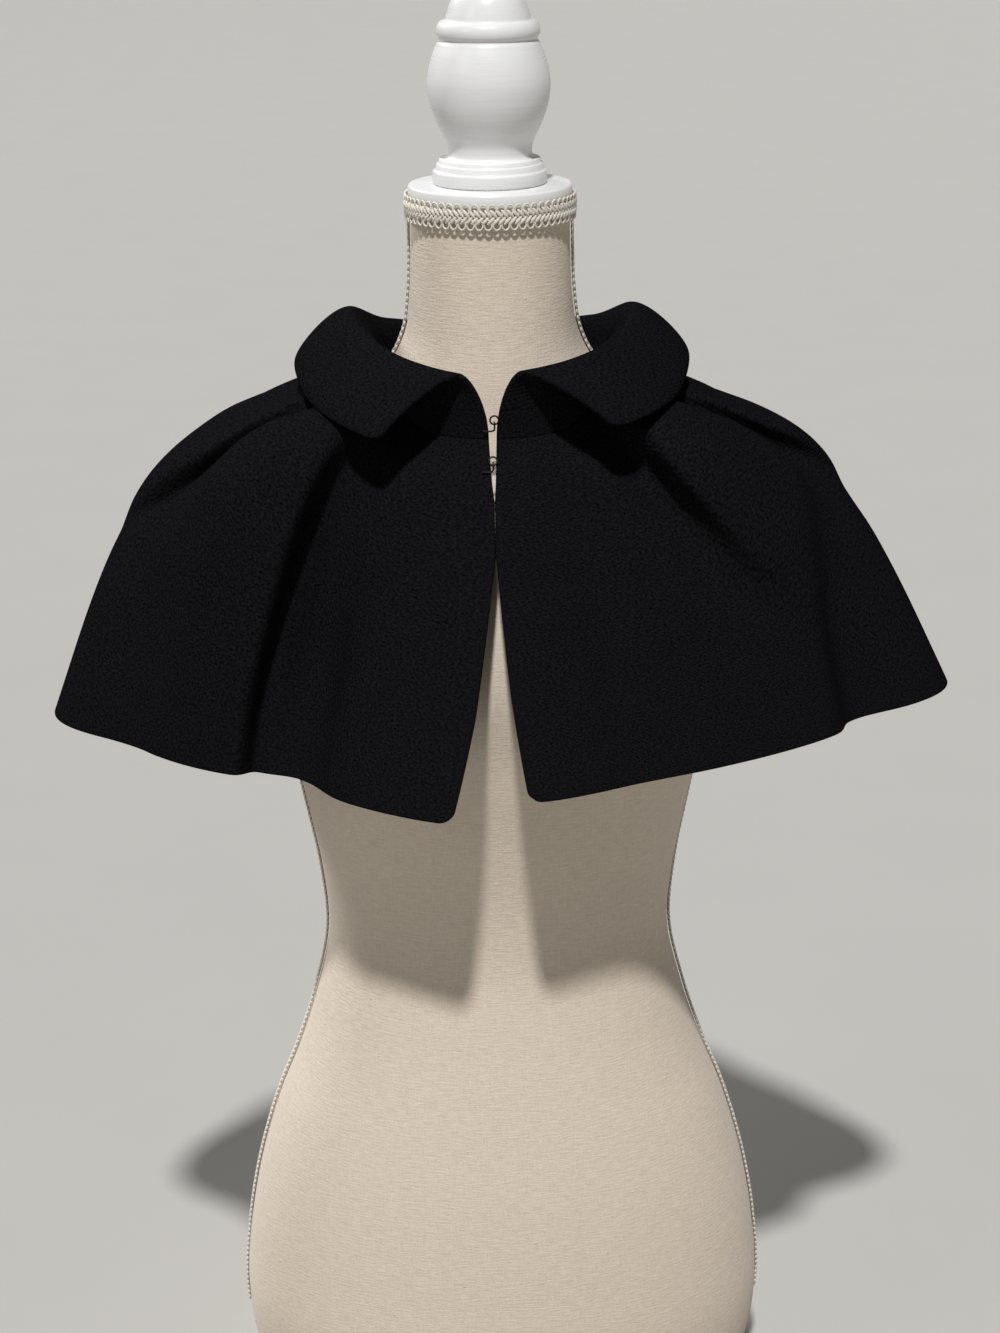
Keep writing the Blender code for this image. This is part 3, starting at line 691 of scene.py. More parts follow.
def wool_twill():
    """Fulled wool twill: quite matt, a faint diagonal rib under a nap that swallows light."""
    made, tree = new_material("fulled_wool_twill")
    colour = bpy.context.scene.capelet_cloth.wool_colour
    flat = node(tree, "ShaderNodeUVMap", uv_map="cloth").outputs["UV"]
    turned = node(tree, "ShaderNodeMapping", {"Vector": flat, "Rotation": (0.0, 0.0, radians(33))})
    # The rib of such a cloth is about 0.9 mm apart; it is drawn at 2.4 mm so that it shows.
    rib = node(
        tree,
        "ShaderNodeTexWave",
        {
            "Vector": turned.outputs[0],
            "Scale": ONE_BAND / 0.0024,
            "Distortion": 1.5,
            "Detail": 2.0,
        },
    )
    # Tufts of nap are about 1 mm across; they are drawn at 1.6 mm so that they show.
    tufts = node(tree, "ShaderNodeTexNoise", {"Vector": flat, "Scale": 620.0, "Detail": 2.0})
    nap = node(tree, "ShaderNodeMapRange", {"Value": tufts.outputs["Fac"], 1: 0.3, 2: 0.7})
    # Broad handling marks, about 40 mm across.
    wear = node(tree, "ShaderNodeTexNoise", {"Vector": flat, "Scale": 26.0, "Detail": 2.0})
    speck = node(
        tree,
        "ShaderNodeMix",
        {0: nap.outputs[0], 6: scaled(colour, 0.35), 7: scaled(colour, 1.8)},
        data_type="RGBA",
    )
    tone = node(
        tree,
        "ShaderNodeMix",
        {0: wear.outputs["Fac"], 6: scaled(WHITE, 0.86), 7: scaled(WHITE, 1.0)},
        data_type="RGBA",
    )
    mixed = node(
        tree,
        "ShaderNodeMix",
        {0: 1.0, 6: speck.outputs[2], 7: tone.outputs[2]},
        data_type="RGBA",
        blend_type="MULTIPLY",
    )
    raised = node(
        tree,
        "ShaderNodeMath",
        {0: nap.outputs[0], 1: 0.7, 2: rib.outputs["Fac"]},
        operation="MULTIPLY_ADD",
    )
    coat(
        tree,
        {
            "Base Color": mixed.outputs[2],
            "Roughness": 0.92,
            "IOR": 1.45,
            "Specular IOR Level": 0.0,
        },
        {"Strength": 0.45, "Distance": 0.0004, "Height": raised.outputs[0]},
    )
    return made


def black_wire():
    """Drawn steel wire in black lacquer: thin even gloss with slight ripples."""
    made, tree = new_material("black_lacquered_wire")
    colour = bpy.context.scene.capelet_cloth.wire_colour
    place = node(tree, "ShaderNodeTexCoord").outputs["Object"]
    # Brush ripples about 1.5 mm long.
    ripple = node(tree, "ShaderNodeTexNoise", {"Vector": place, "Scale": 700.0, "Detail": 2.0})
    tone = node(
        tree,
        "ShaderNodeMix",
        {0: ripple.outputs["Fac"], 6: scaled(colour, 0.7), 7: scaled(colour, 1.6)},
        data_type="RGBA",
    )
    coat(
        tree,
        {
            "Base Color": tone.outputs[2],
            "Roughness": 0.40,
            "IOR": 1.5,
            "Specular IOR Level": 0.2,
        },
        {"Strength": 0.2, "Distance": 0.0001, "Height": ripple.outputs["Fac"]},
    )
    return made


def slub_linen():
    """Unbleached linen in plain weave: matt, thick and thin threads, small neps."""
    made, tree = new_material("slub_linen")
    colour = bpy.context.scene.capelet_form.linen_colour
    flat = node(tree, "ShaderNodeUVMap", uv_map="cloth").outputs["UV"]
    # Threads are about 0.7 mm thick and drawn at 1.4 mm so that they show, with slubs some
    # 9 mm long. Loose fibres make a fuzz of about 1.2 mm between them.
    grains = []
    for stretch in ((110.0, 720.0, 1.0), (720.0, 110.0, 1.0), (830.0, 830.0, 1.0)):
        laid = node(tree, "ShaderNodeMapping", {"Vector": flat, "Scale": stretch}).outputs[0]
        uneven = node(tree, "ShaderNodeTexNoise", {"Vector": laid, "Scale": 1.0, "Detail": 3.0})
        spread_out = {"Value": uneven.outputs["Fac"], 1: 0.28, 2: 0.72}
        grains.append(node(tree, "ShaderNodeMapRange", spread_out).outputs[0])
    across, along, fuzz = grains
    # Neps are about 2 mm across and stand some 18 mm apart.
    nep = node(tree, "ShaderNodeTexVoronoi", {"Vector": flat, "Scale": 55.0})
    nep_top = node(
        tree,
        "ShaderNodeMapRange",
        {"Value": nep.outputs["Distance"], 1: 0.02, 2: 0.06, 3: 1.0, 4: 0.0},
    )
    height = across
    for layer, share in ((along, 0.6), (fuzz, 0.9)):
        parts = {0: layer, 1: share, 2: height}
        height = node(tree, "ShaderNodeMath", parts, operation="MULTIPLY_ADD").outputs[0]
    # The tone follows the height of the threads. Part of it is the yarn's own uneven tone along
    # the slubs, and part is painted shade that darkens the low places between threads.
    shade = node(tree, "ShaderNodeMapRange", {"Value": height, 1: 0.5, 2: 2.0})
    raised = node(
        tree,
        "ShaderNodeMath",
        {0: nep_top.outputs[0], 1: 2.4, 2: height},
        operation="MULTIPLY_ADD",
    )
    tone = node(
        tree,
        "ShaderNodeMix",
        {0: shade.outputs[0], 6: scaled(colour, 0.86), 7: scaled(colour, 1.07)},
        data_type="RGBA",
    )
    coat(
        tree,
        {
            "Base Color": tone.outputs[2],
            "Roughness": 0.9,
            "IOR": 1.45,
            "Specular IOR Level": 0.25,
            "Sheen Weight": 0.1,
            "Sheen Roughness": 0.5,
        },
        {"Strength": 0.45, "Distance": 0.0003, "Height": raised.outputs[0]},
    )
    return made


def gloss_paint():
    """Turned wood in gloss white paint: smooth, with the faint waves of the brush."""
    made, tree = new_material("gloss_white_paint")
    colour = bpy.context.scene.capelet_form.paint_colour
    place = node(tree, "ShaderNodeTexCoord").outputs["Object"]
    # Brush waves run round the turning, about 3 mm apart.
    laid = node(tree, "ShaderNodeMapping", {"Vector": place, "Scale": (25.0, 25.0, 330.0)})
    brushed = {"Vector": laid.outputs[0], "Scale": 1.0, "Detail": 3.0}
    wave = node(tree, "ShaderNodeTexNoise", brushed).outputs["Fac"]
    tone = node(
        tree,
        "ShaderNodeMix",
        {0: wave, 6: scaled(colour, 0.97), 7: scaled(colour, 1.02)},
        data_type="RGBA",
    )
    gloss = node(tree, "ShaderNodeMapRange", {"Value": wave, 1: 0.3, 2: 0.7, 3: 0.24, 4: 0.34})
    coat(
        tree,
        {"Base Color": tone.outputs[2], "Roughness": gloss.outputs[0], "IOR": 1.5},
        {"Strength": 0.06, "Distance": 0.0002, "Height": wave},
    )
    return made


def silky_braid():
    """Off-white rayon braid: softly shining strands with fine twisted fibres."""
    made, tree = new_material("silky_braid")
    colour = bpy.context.scene.capelet_form.braid_colour
    place = node(tree, "ShaderNodeTexCoord").outputs["Object"]
    # Fibres twist at about 0.4 mm; they are drawn at 0.8 mm so that they show.
    fibre = node(
        tree,
        "ShaderNodeTexWave",
        {"Vector": place, "Scale": ONE_BAND / 0.0008, "Distortion": 4.0, "Detail": 2.0},
        bands_direction="DIAGONAL",
    )
    # Grime lies in patches about 11 mm across.
    grime = node(tree, "ShaderNodeTexNoise", {"Vector": place, "Scale": 90.0, "Detail": 2.0})
    tone = node(
        tree,
        "ShaderNodeMix",
        {0: fibre.outputs["Fac"], 6: scaled(colour, 0.82), 7: scaled(colour, 1.06)},
        data_type="RGBA",
    )
    aged = node(
        tree,
        "ShaderNodeMix",
        {0: grime.outputs["Fac"], 6: tone.outputs[2], 7: scaled(colour, 0.9)},
        data_type="RGBA",
    )
    coat(
        tree,
        {
            "Base Color": aged.outputs[2],
            "Roughness": 0.5,
            "IOR": 1.47,
            "Sheen Weight": 0.15,
        },
        {"Strength": 0.3, "Distance": 0.0002, "Height": fibre.outputs["Fac"]},
    )
    return made


def floor_paper():
    """Matt paper roll: even and pale, with the faintest mottle."""
    made, tree = new_material("matt_floor_paper")
    colour = bpy.context.scene.capelet_stage.floor_colour
    place = node(tree, "ShaderNodeTexCoord").outputs["Object"]
    # The mottle is about 170 mm across.
    mottle = node(tree, "ShaderNodeTexNoise", {"Vector": place, "Scale": 6.0, "Detail": 2.0})
    tone = node(
        tree,
        "ShaderNodeMix",
        {0: mottle.outputs["Fac"], 6: scaled(colour, 0.98), 7: scaled(colour, 1.02)},
        data_type="RGBA",
    )
    coat(tree, {"Base Color": tone.outputs[2], "Roughness": 0.95})
    return made


def finish_of(maker):
    """The material that a maker function gives, made once."""
    known = bpy.context.scene.get("capelet_finishes", {})
    if maker.__name__ in known:
        return bpy.data.materials[known[maker.__name__]]
    made = maker()
    names = dict(known)
    names[maker.__name__] = made.name
    bpy.context.scene["capelet_finishes"] = names
    return made


def link_piece(name, mesh, maker):
    """Object at the origin with its finish."""
    made = bpy.data.objects.new(name, mesh)
    bpy.context.scene.collection.objects.link(made)
    mesh.materials.clear()
    mesh.materials.append(finish_of(maker))
    mesh.shade_smooth()
    return made


def hand_over(piece, slot, *nodes):
    """Piece that stands for solids of the frame: hang it under the root and hide those solids."""
    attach(piece, "root")
    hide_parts(*nodes)
    return piece


def grid_faces(numbers):
    """Faces between neighbours in a grid of vertex numbers."""
    a = numbers[:-1, :-1]
    b = numbers[1:, :-1]
    c = numbers[1:, 1:]
    d = numbers[:-1, 1:]
    return np.stack((a, b, c, d), -1).reshape(-1, 4)


def mesh_of(name, points, faces, flat):
    """Mesh of the points that faces use, with a flat place for each corner of each face."""
    used, numbers = np.unique(faces, return_inverse=True)
    mesh = bpy.data.meshes.new(name)
    mesh.from_pydata(points[used].tolist(), [], numbers.reshape(faces.shape).tolist())
    layer = mesh.uv_layers.new(name="cloth")
    layer.data.foreach_set("uv", np.ascontiguousarray(flat, dtype=np.float32).ravel())
    mesh.validate()
    mesh.update()
    return mesh


def fan_of(middle):
    """Opening angle and inner and outer radius of the fan that a panel is cut as."""
    inner = distances(middle[0])[-1]
    outer = distances(middle[-1])[-1]
    run = np.mean(distances(middle)[-1])
    angle = max((outer - inner) / run, LEAST_FAN)
    return angle, inner / angle, inner / angle + run


def fan_places(middle):
    """Flat places of a grid of points on the fan that they are cut as."""
    angle, inner, outer = fan_of(middle)
    runs = distances(middle, axis=1)
    share = runs / runs[:, -1:] - 0.5
    falls = distances(middle)
    radius = inner + (outer - inner) * falls / falls[-1:]
    return np.stack((radius * np.sin(share * angle), -radius * np.cos(share * angle)), -1)


def cut_of(middle):
    """Width, length and area of the flat panel that a grid of points was cut from."""
    angle, inner, outer = fan_of(middle)
    width = 2.0 * outer * sin(min(angle, pi) / 2.0)
    drop = outer - inner * cos(angle / 2.0)
    across = middle[:-1, 1:] - middle[:-1, :-1]
    down = middle[1:, :-1] - middle[:-1, :-1]
    return width, drop, length(np.cross(across, down)).sum()


def rim(count, spans, walls):
    """Shares from edge to edge with rounded ends, and how thick the wall is at each."""
    starts = np.array(RIM_INWARD) * walls[0] / spans
    ends = 1.0 - np.array(RIM_INWARD[::-1]) * walls[1] / spans
    inner = np.linspace(starts[-1], ends[0], count + 1)[1:-1]
    thick = np.concatenate((RIM_THICK, np.ones(count - 1), RIM_THICK[::-1]))
    return np.concatenate((starts, inner, ends)), thick


def rim_lines(lines, place, wall, ends):
    """Lines of a panel with more of them at the rounded edges, and how thick the wall is."""
    step = 0.2

    def shifted(line, sign, inward):
        moved = line.copy()
        for k, v in ((0, 0.0), (1, 1.0)):
            at = np.array([line[k], line[k] + sign * step])
            spots = place(at, np.array([v, v]))
            moved[k] += sign * inward / (length(spots[1] - spots[0])[0] / step)
        return moved

    starts = [shifted(lines[0], 1.0, share * 0.5 * wall * ends[0]) for share in RIM_INWARD]
    stops = [shifted(lines[-1], -1.0, share * 0.5 * wall * ends[1]) for share in RIM_INWARD[::-1]]
    inside = [
        line
        for line in lines[1:-1]
        if starts[-1][0] < line[0] < stops[0][0] and starts[-1][1] < line[1] < stops[0][1]
    ]
    thick = np.concatenate((RIM_THICK, np.ones(len(inside)), RIM_THICK[::-1]))
    return np.array(starts + inside + stops), thick


def lay_cloth(name, lines, thick_across, rows, place, reach, wall, edges, strip=False):
    """Closed thin shell of cloth over a rule, with rounded rims."""
    run = CAPE_LENGTH if place is cape_points else FALL_RUN
    run = STAND_HEIGHT if place is stand_points else run
    shares, thick_down = rim(rows, run, (0.5 * wall * edges[0], 0.5 * wall * edges[1]))
    v = shares[:, None] * np.ones(len(lines))
    top, hem, bow = lines.T
    at = top + (hem - top) * v + bow * 4.0 * v * (1.0 - v)
    v = v * reach(at)
    middle = place(at, v)
    out, _ = facing(place, at, v, CLOTH_STEPS)
    half = 0.5 * wall * np.minimum(thick_down[:, None], thick_across[None, :])
    outer = middle + out * half[..., None]
    inner = middle - out * half[..., None]
    count = v.size
    numbers = np.arange(count).reshape(v.shape)
    hidden = numbers + count
    hidden[0, :] = numbers[0, :]
    hidden[-1, :] = numbers[-1, :]
    hidden[:, 0] = numbers[:, 0]
    hidden[:, -1] = numbers[:, -1]
    faces = np.concatenate((grid_faces(numbers), grid_faces(hidden)[:, ::-1]))
    flat = fan_places(middle).reshape(-1, 2)
    if strip:
        across = np.linspace(0.0, distances(middle[-1])[-1], v.shape[1])
        flat = np.stack(np.broadcast_arrays(across[None, :], shares[:, None] * run), -1)
        flat = flat.reshape(-1, 2)
    points = np.concatenate((outer.reshape(-1, 3), inner.reshape(-1, 3)))
    mesh = mesh_of(name, points, faces, flat[faces.ravel() % count])
    return link_piece(name, mesh, wool_twill), middle


class CAPELET_OT_panels(bpy.types.Operator):
    """Two front panels and the back panel of the cape, with their folds"""

    bl_idname = "capelet.panels"
    bl_label = "Cape panels"

    def execute(self, context):
        wall = context.scene.capelet_cloth.cape_wall
        panels = (
            ("cape_front_right", RIGHT_EDGE, RIGHT_SHOULDER, FRONT_LINES, (FREE, SEWN)),
            ("cape_back", RIGHT_SHOULDER, LEFT_SHOULDER, BACK_LINES, (SEWN, SEWN)),
            ("cape_front_left", LEFT_SHOULDER, LEFT_EDGE, FRONT_LINES, (SEWN, FREE)),
        )
        for name, start, end, columns, ends in panels:
            bounds = []
            for radius in (SHOULDER_NECK, SHOULDER_HEM):
                inset = -SEAM_LAP * 90.0 / pi / radius
                first = start if start == RIGHT_EDGE else start + inset
                last = end if end == LEFT_EDGE else end - inset
                bounds.append((first, last))
            lines = spread(bounds[0], bounds[1], columns)
            lines, thick = rim_lines(lines, cape_points, wall, ends)
            piece, middle = lay_cloth(
                "wool_" + name,
                lines,
                thick,
                PANEL_ROWS,
                cape_points,
                hem_share,
                wall,
                (SEWN, FREE),
            )
            hand_over(piece, "wool", name)
        return {"FINISHED"}


class CAPELET_OT_collar(bpy.types.Operator):
    """Collar stand and the folded collar that falls over it"""

    bl_idname = "capelet.collar"
    bl_label = "Collar"

    def execute(self, context):
        wall = context.scene.capelet_cloth.collar_wall
        share = np.linspace(0.0, 1.0, COLLAR_LINES + 1)
        ease = share - COLLAR_EASE * np.sin(2.0 * pi * share)
        turns = RIGHT_EDGE + (LEFT_EDGE - RIGHT_EDGE) * ease
        lines = np.stack((turns, turns, np.zeros_like(turns)), -1)
        pieces = (
            ("collar_stand", stand_points, whole, STAND_ROWS, (SEWN, SEWN), True),
            ("collar_fall", fall_points, fall_share, FALL_ROWS, (SEWN, FREE), False),
        )
        for name, place, reach, rows, edges, strip in pieces:
            rimmed, thick = rim_lines(lines, place, wall, (FREE, FREE))
            piece, middle = lay_cloth(
                "wool_" + name, rimmed, thick, rows, place, reach, wall, edges, strip
            )
            hand_over(piece, "wool", name)
            width, drop, area = cut_of(middle)
            if strip:
                width = distances(middle[-1])[-1]
                drop = max(STAND_HEIGHT, area / width)
        return {"FINISHED"}


def wire_mesh(name, points, closed):
    """Round bent wire through points."""
    curve = bpy.data.curves.new(name, "CURVE")
    curve.dimensions = "3D"
    curve.bevel_depth = WIRE
    curve.bevel_resolution = 3
    curve.use_fill_caps = True
    line = curve.splines.new("BEZIER")
    line.bezier_points.add(len(points) - 1)
    for spot, point in zip(line.bezier_points, points):
        spot.co = point
        spot.handle_left_type = "AUTO"
        spot.handle_right_type = "AUTO"
    line.resolution_u = 6
    line.use_cyclic_u = closed
    maker = bpy.data.objects.new(name, curve)
    bpy.context.scene.collection.objects.link(maker)
    mesh = bpy.data.meshes.new_from_object(
        maker.evaluated_get(bpy.context.evaluated_depsgraph_get())
    )
    bpy.data.objects.remove(maker)
    bpy.data.curves.remove(curve)
    mesh.name = name
    return mesh


class CAPELET_OT_fastenings(bpy.types.Operator):
    """Two hooks on the right front, each caught in its eye on the left"""

    bl_idname = "capelet.fastenings"
    bl_label = "Hooks and eyes"

    def execute(self, context):
        cloth = context.scene.capelet_cloth
        edge = np.array([LEFT_EDGE])
        upper = Vector(stand_points(edge, np.array([UPPER_HOOK_AT]))[0])
        upper += Vector((-UPPER_EYE_INSET, -0.5 * cloth.collar_wall, 0.0))
        high = cape_points(edge, np.array([SLOPE_FROM]))[0]
        slope = Vector(cape_points(edge, np.array([SLOPE_TO]))[0] - high)
        slope.x = 0.0
        lower = Vector(cape_points(edge, np.array([LOWER_HOOK_AT]))[0])
        lower += Vector((-LOWER_EYE_INSET, -0.55 * cloth.cape_wall, 0.0))
        side = Vector((1.0, 0.0, 0.0))
        low = EYE_RADIUS + HOOK_DROP
        over = 2.0 * WIRE + SEAM_GAP
        bill = EYE_RADIUS - 2.0 * WIRE - SEAM_GAP
        # Points of a hook's wire: across, down and out from the middle of its eye.
        bends = (
            (-HOOK_REACH, low, 0.0),
            (-0.0014, low, 0.0),
            (-0.0004, low - 0.0004, 0.0004),
            (0.0, low - 0.0015, over),
            (0.0, bill + 0.0003, over),
            (0.0, bill, over - 0.0004),
            (0.0, bill, 0.0),
        )
        places = (("upper", upper, Vector((0.0, 0.0, -1.0))), ("lower", lower, slope.normalized()))
        for label, place, down in places:
            out = down.cross(side).normalized()
            rest = place + out * (SEAT_GAP + WIRE)
            turns = [2.0 * pi * i / EYE_STEPS for i in range(EYE_STEPS)]
            eye = [rest + (side * cos(t) + down * sin(t)) * EYE_RADIUS for t in turns]
            hook = [rest + side * x + down * fall + out * lift for x, fall, lift in bends]
            ring = link_piece("wire_eye_" + label, wire_mesh("eye", eye, True), black_wire)
            hand_over(ring, "wire", "eye_" + label)
            bent = link_piece("wire_hook_" + label, wire_mesh("hook", hook, False), black_wire)
            hand_over(bent, "wire", "hook_" + label)
        return {"FINISHED"}


def form_profile(count):
    """Heights, half widths, fronts and backs of the form from its underside to its neck."""
    table = np.array([row[1:] for row in FORM_LEVELS])
    runs = distances(table[:, :2])
    places = np.sort(np.concatenate((np.linspace(0.0, runs[-1], count), runs[:4])))
    return np.stack([spline(runs, column, places) for column in table.T], -1), places


def close_ends(mesh):
    """Fill the open ends of a tube and turn its faces outwards."""
    work = bmesh.new()
    work.from_mesh(mesh)
    rims = [edge for edge in work.edges if edge.is_boundary]
    bmesh.ops.holes_fill(work, edges=rims, sides=0)
    bmesh.ops.recalc_face_normals(work, faces=work.faces)
    work.to_mesh(mesh)
    work.free()


class CAPELET_OT_body(bpy.types.Operator):
    """Linen-covered body of the dress form"""

    bl_idname = "capelet.body"
    bl_label = "Form body"

    def execute(self, context):
        rows, places = form_profile(BODY_ROWS)
        turn = np.linspace(0.5 * pi, 2.5 * pi, BODY_LINES + 1)
        across = np.sign(np.cos(turn)) * np.abs(np.cos(turn)) ** FORM_OVAL
        forth = np.sign(np.sin(turn)) * np.abs(np.sin(turn)) ** FORM_OVAL
        depth = np.where(forth[None, :] < 0.0, rows[:, 2:3], rows[:, 3:4])
        points = np.stack(
            np.broadcast_arrays(rows[:, 1:2] * across, depth * forth, rows[:, 0:1]), -1
        )
        runs = distances(points, axis=1)
        runs = runs - 0.5 * runs[:, -1:]
        flat = np.stack(np.broadcast_arrays(runs, places[:, None]), -1).reshape(-1, 2)
        numbers = np.arange(runs.size).reshape(runs.shape)
        corners = grid_faces(numbers)[:, ::-1]
        joined = numbers.copy()
        joined[:, -1] = numbers[:, 0]
        faces = grid_faces(joined)[:, ::-1]
        mesh = mesh_of("linen_form_body", points.reshape(-1, 3), faces, flat[corners.ravel()])
        close_ends(mesh)
        piece = link_piece("linen_form_body", mesh, slub_linen)
        hand_over(piece, "linen", "form_body")
        return {"FINISHED"}


def smooth_run(rows):
    """Points along one smooth run of a turned profile, stopping just short of its ends."""
    table = np.array([row[:2] for row in rows])
    runs = distances(table)
    ease = min(EDGE_EASE, 0.25 * runs[-1])
    start = ease if rows[0].edge else 0.0
    stop = runs[-1] - ease if rows[-1].edge else runs[-1]
    places = np.linspace(start, stop, 2 + RUN_STEPS * (len(rows) - 2))
    return np.stack([spline(runs, column, places) for column in table.T], -1)


def turned_mesh(name, profile, segments):
    """Body turned from a profile whose edges are slightly rounded."""
    points = []
    first = 0
    for last in range(1, len(profile)):
        if profile[last].edge or last == len(profile) - 1:
            points.extend(smooth_run(profile[first:last + 1]))
            first = last
    work = bmesh.new()
    verts = [work.verts.new((radius, 0.0, height)) for radius, height in points]
    edges = [work.edges.new(pair) for pair in zip(verts, verts[1:])]
    bmesh.ops.spin(
        work,
        geom=verts + edges,
        cent=(0.0, 0.0, 0.0),
        axis=(0.0, 0.0, 1.0),
        angle=2.0 * pi,
        steps=segments,
        use_merge=True,
    )
    bmesh.ops.remove_doubles(work, verts=work.verts, dist=MERGE)
    bmesh.ops.recalc_face_normals(work, faces=work.faces)
    mesh = bpy.data.meshes.new(name)
    work.to_mesh(mesh)
    work.free()
    return mesh


class CAPELET_OT_turnings(bpy.types.Operator):
    """Painted neck cap and finial of the dress form"""

    bl_idname = "capelet.turnings"
    bl_label = "Neck cap and finial"

    def execute(self, context):
        for name, profile in (("form_neck_cap", NECK_CAP), ("form_finial", FINIAL)):
            mesh = turned_mesh("painted_" + name, profile, TURNED_STEPS)
            piece = link_piece("painted_" + name, mesh, gloss_paint)
            hand_over(piece, "painted_wood", name)
        return {"FINISHED"}


def trim_tree(name, sockets):
    """Empty tree of geometry nodes with a path, named sizes and a finish."""
    tree = bpy.data.node_groups.new(name, "GeometryNodeTree")
    tree.interface.new_socket("Path", in_out="INPUT", socket_type="NodeSocketGeometry")
    for label, value in sockets:
        made = tree.interface.new_socket(label, in_out="INPUT", socket_type="NodeSocketFloat")
        made.default_value = value
    tree.interface.new_socket("Finish", in_out="INPUT", socket_type="NodeSocketMaterial")
    tree.interface.new_socket("Trim", in_out="OUTPUT", socket_type="NodeSocketGeometry")
    return tree, node(tree, "NodeGroupInput").outputs


def placed_along(tree, sizes, unit):
    """Finish a tree that sets a unit along its path, facing away from what it lies on."""
    path = node(tree, "GeometryNodeMeshToCurve", {"Mesh": sizes["Path"]})
    spots = node(
        tree,
        "GeometryNodeCurveToPoints",
        {"Curve": path.outputs[0], "Length": sizes["Pitch"]},
        mode="LENGTH",
    )
    out = node(tree, "GeometryNodeInputNamedAttribute", {"Name": "out"}, data_type="FLOAT_VECTOR")
    facing = node(
        tree,
        "FunctionNodeAxesToRotation",
        {0: spots.outputs["Tangent"], 1: out.outputs["Attribute"]},
        primary_axis="Z",
        secondary_axis="X",
    )
    set_out = node(
        tree,
        "GeometryNodeInstanceOnPoints",
        {"Points": spots.outputs["Points"], "Instance": unit, "Rotation": facing.outputs[0]},
    )
    real = node(tree, "GeometryNodeRealizeInstances", {"Geometry": set_out.outputs[0]})
    done = node(
        tree,
        "GeometryNodeSetMaterial",
        {"Geometry": real.outputs[0], "Material": sizes["Finish"]},
    )
    node(tree, "NodeGroupOutput", {"Trim": done.outputs[0]})
    return tree


def two_rows(tree, sizes, unit, slant):
    """Unit set out on either side of a path, half a pitch apart and slanting both ways."""
    both = node(tree, "GeometryNodeJoinGeometry")
    for sign, shift in ((1.0, 0.0), (-1.0, 0.5)):
        aside = node(tree, "ShaderNodeMath", {0: sizes["Offset"], 1: sign}, operation="MULTIPLY")
        ahead = node(tree, "ShaderNodeMath", {0: sizes["Pitch"], 1: shift}, operation="MULTIPLY")
        lean = node(tree, "ShaderNodeMath", {0: slant, 1: sign}, operation="MULTIPLY")
        move = node(tree, "ShaderNodeCombineXYZ", {1: aside.outputs[0], 2: ahead.outputs[0]})
        turn = node(tree, "ShaderNodeCombineXYZ", {0: lean.outputs[0]})
        row = node(
            tree,
            "GeometryNodeTransform",
            {"Geometry": unit, "Translation": move.outputs[0], "Rotation": turn.outputs[0]},
        )
        tree.links.new(row.outputs[0], both.inputs[0])
    return both.outputs[0]


def plait_tree():
    """Two rows of slanting strands that meet along the middle of a path."""
    sockets = (
        ("Pitch", 0.004),
        ("Strand length", 0.005),
        ("Strand width", 0.002),
        ("Strand height", 0.0018),
        ("Offset", 0.0012),
        ("Slant", 0.5),
    )
    tree, sizes = trim_tree("plaited trim", sockets)
    ball = node(tree, "GeometryNodeMeshUVSphere", {"Segments": 8, "Rings": 6, "Radius": 0.5})
    form = node(
        tree,
        "ShaderNodeCombineXYZ",
        {0: sizes["Strand height"], 1: sizes["Strand width"], 2: sizes["Strand length"]},
    )
    strand = node(
        tree,
        "GeometryNodeTransform",
        {"Geometry": ball.outputs[0], "Scale": form.outputs[0]},
    )
    return placed_along(tree, sizes, two_rows(tree, sizes, strand.outputs[0], sizes["Slant"]))


def loop_tree():
    """Two rows of loops along the edges of a braid."""
    sockets = (
        ("Pitch", 0.0054),
        ("Loop length", 0.0048),
        ("Loop height", 0.0062),
        ("Yarn", 0.0007),
        ("Offset", 0.0046),
    )
    tree, sizes = trim_tree("looped edges", sockets)
    ring = node(tree, "GeometryNodeCurvePrimitiveCircle", {"Resolution": 12, "Radius": 0.5})
    form = node(
        tree,
        "ShaderNodeCombineXYZ",
        {0: sizes["Loop length"], 1: sizes["Loop height"], 2: 1.0},
    )
    shaped = node(
        tree,
        "GeometryNodeTransform",
        {"Geometry": ring.outputs[0], "Scale": form.outputs[0]},
    )
    yarn = node(
        tree,
        "GeometryNodeCurvePrimitiveCircle",
        {"Resolution": 5, "Radius": sizes["Yarn"]},
    )
    tube = node(
        tree,
        "GeometryNodeCurveToMesh",
        {"Curve": shaped.outputs[0], "Profile Curve": yarn.outputs[0]},
    )
    upright = node(
        tree,
        "GeometryNodeTransform",
        {"Geometry": tube.outputs[0], "Rotation": (0.0, 0.5 * pi, 0.0)},
    )
    return placed_along(tree, sizes, two_rows(tree, sizes, upright.outputs[0], 0.0))


def lay_trim(name, path, outs, closed, tree, sizes):
    """Trim made by a tree along a path, as a plain mesh."""
    count = len(path)
    edges = [(i, i + 1) for i in range(count - 1)]
    if closed:
        edges.append((count - 1, 0))
    guide = bpy.data.meshes.new(name + "_path")
    guide.from_pydata([tuple(p) for p in path], edges, [])
    facing = guide.attributes.new("out", "FLOAT_VECTOR", "POINT")
    facing.data.foreach_set("vector", np.asarray(outs, np.float32).ravel())
    maker = bpy.data.objects.new(name + "_path", guide)
    bpy.context.scene.collection.objects.link(maker)
    layer = maker.modifiers.new("trim", "NODES")
    layer.node_group = tree
    values = dict(sizes, Finish=finish_of(silky_braid))
    for item in tree.interface.items_tree:
        if item.in_out == "INPUT" and item.name in values:
            layer[item.identifier] = values[item.name]
    depsgraph = bpy.context.evaluated_depsgraph_get()
    mesh = bpy.data.meshes.new_from_object(maker.evaluated_get(depsgraph))
    maker.modifiers.remove(layer)
    bpy.data.objects.remove(maker)
    bpy.data.meshes.remove(guide)
    if not mesh.polygons:
        raise RuntimeError(name + " came out empty")
    mesh.name = name
    return link_piece(name, mesh, silky_braid)


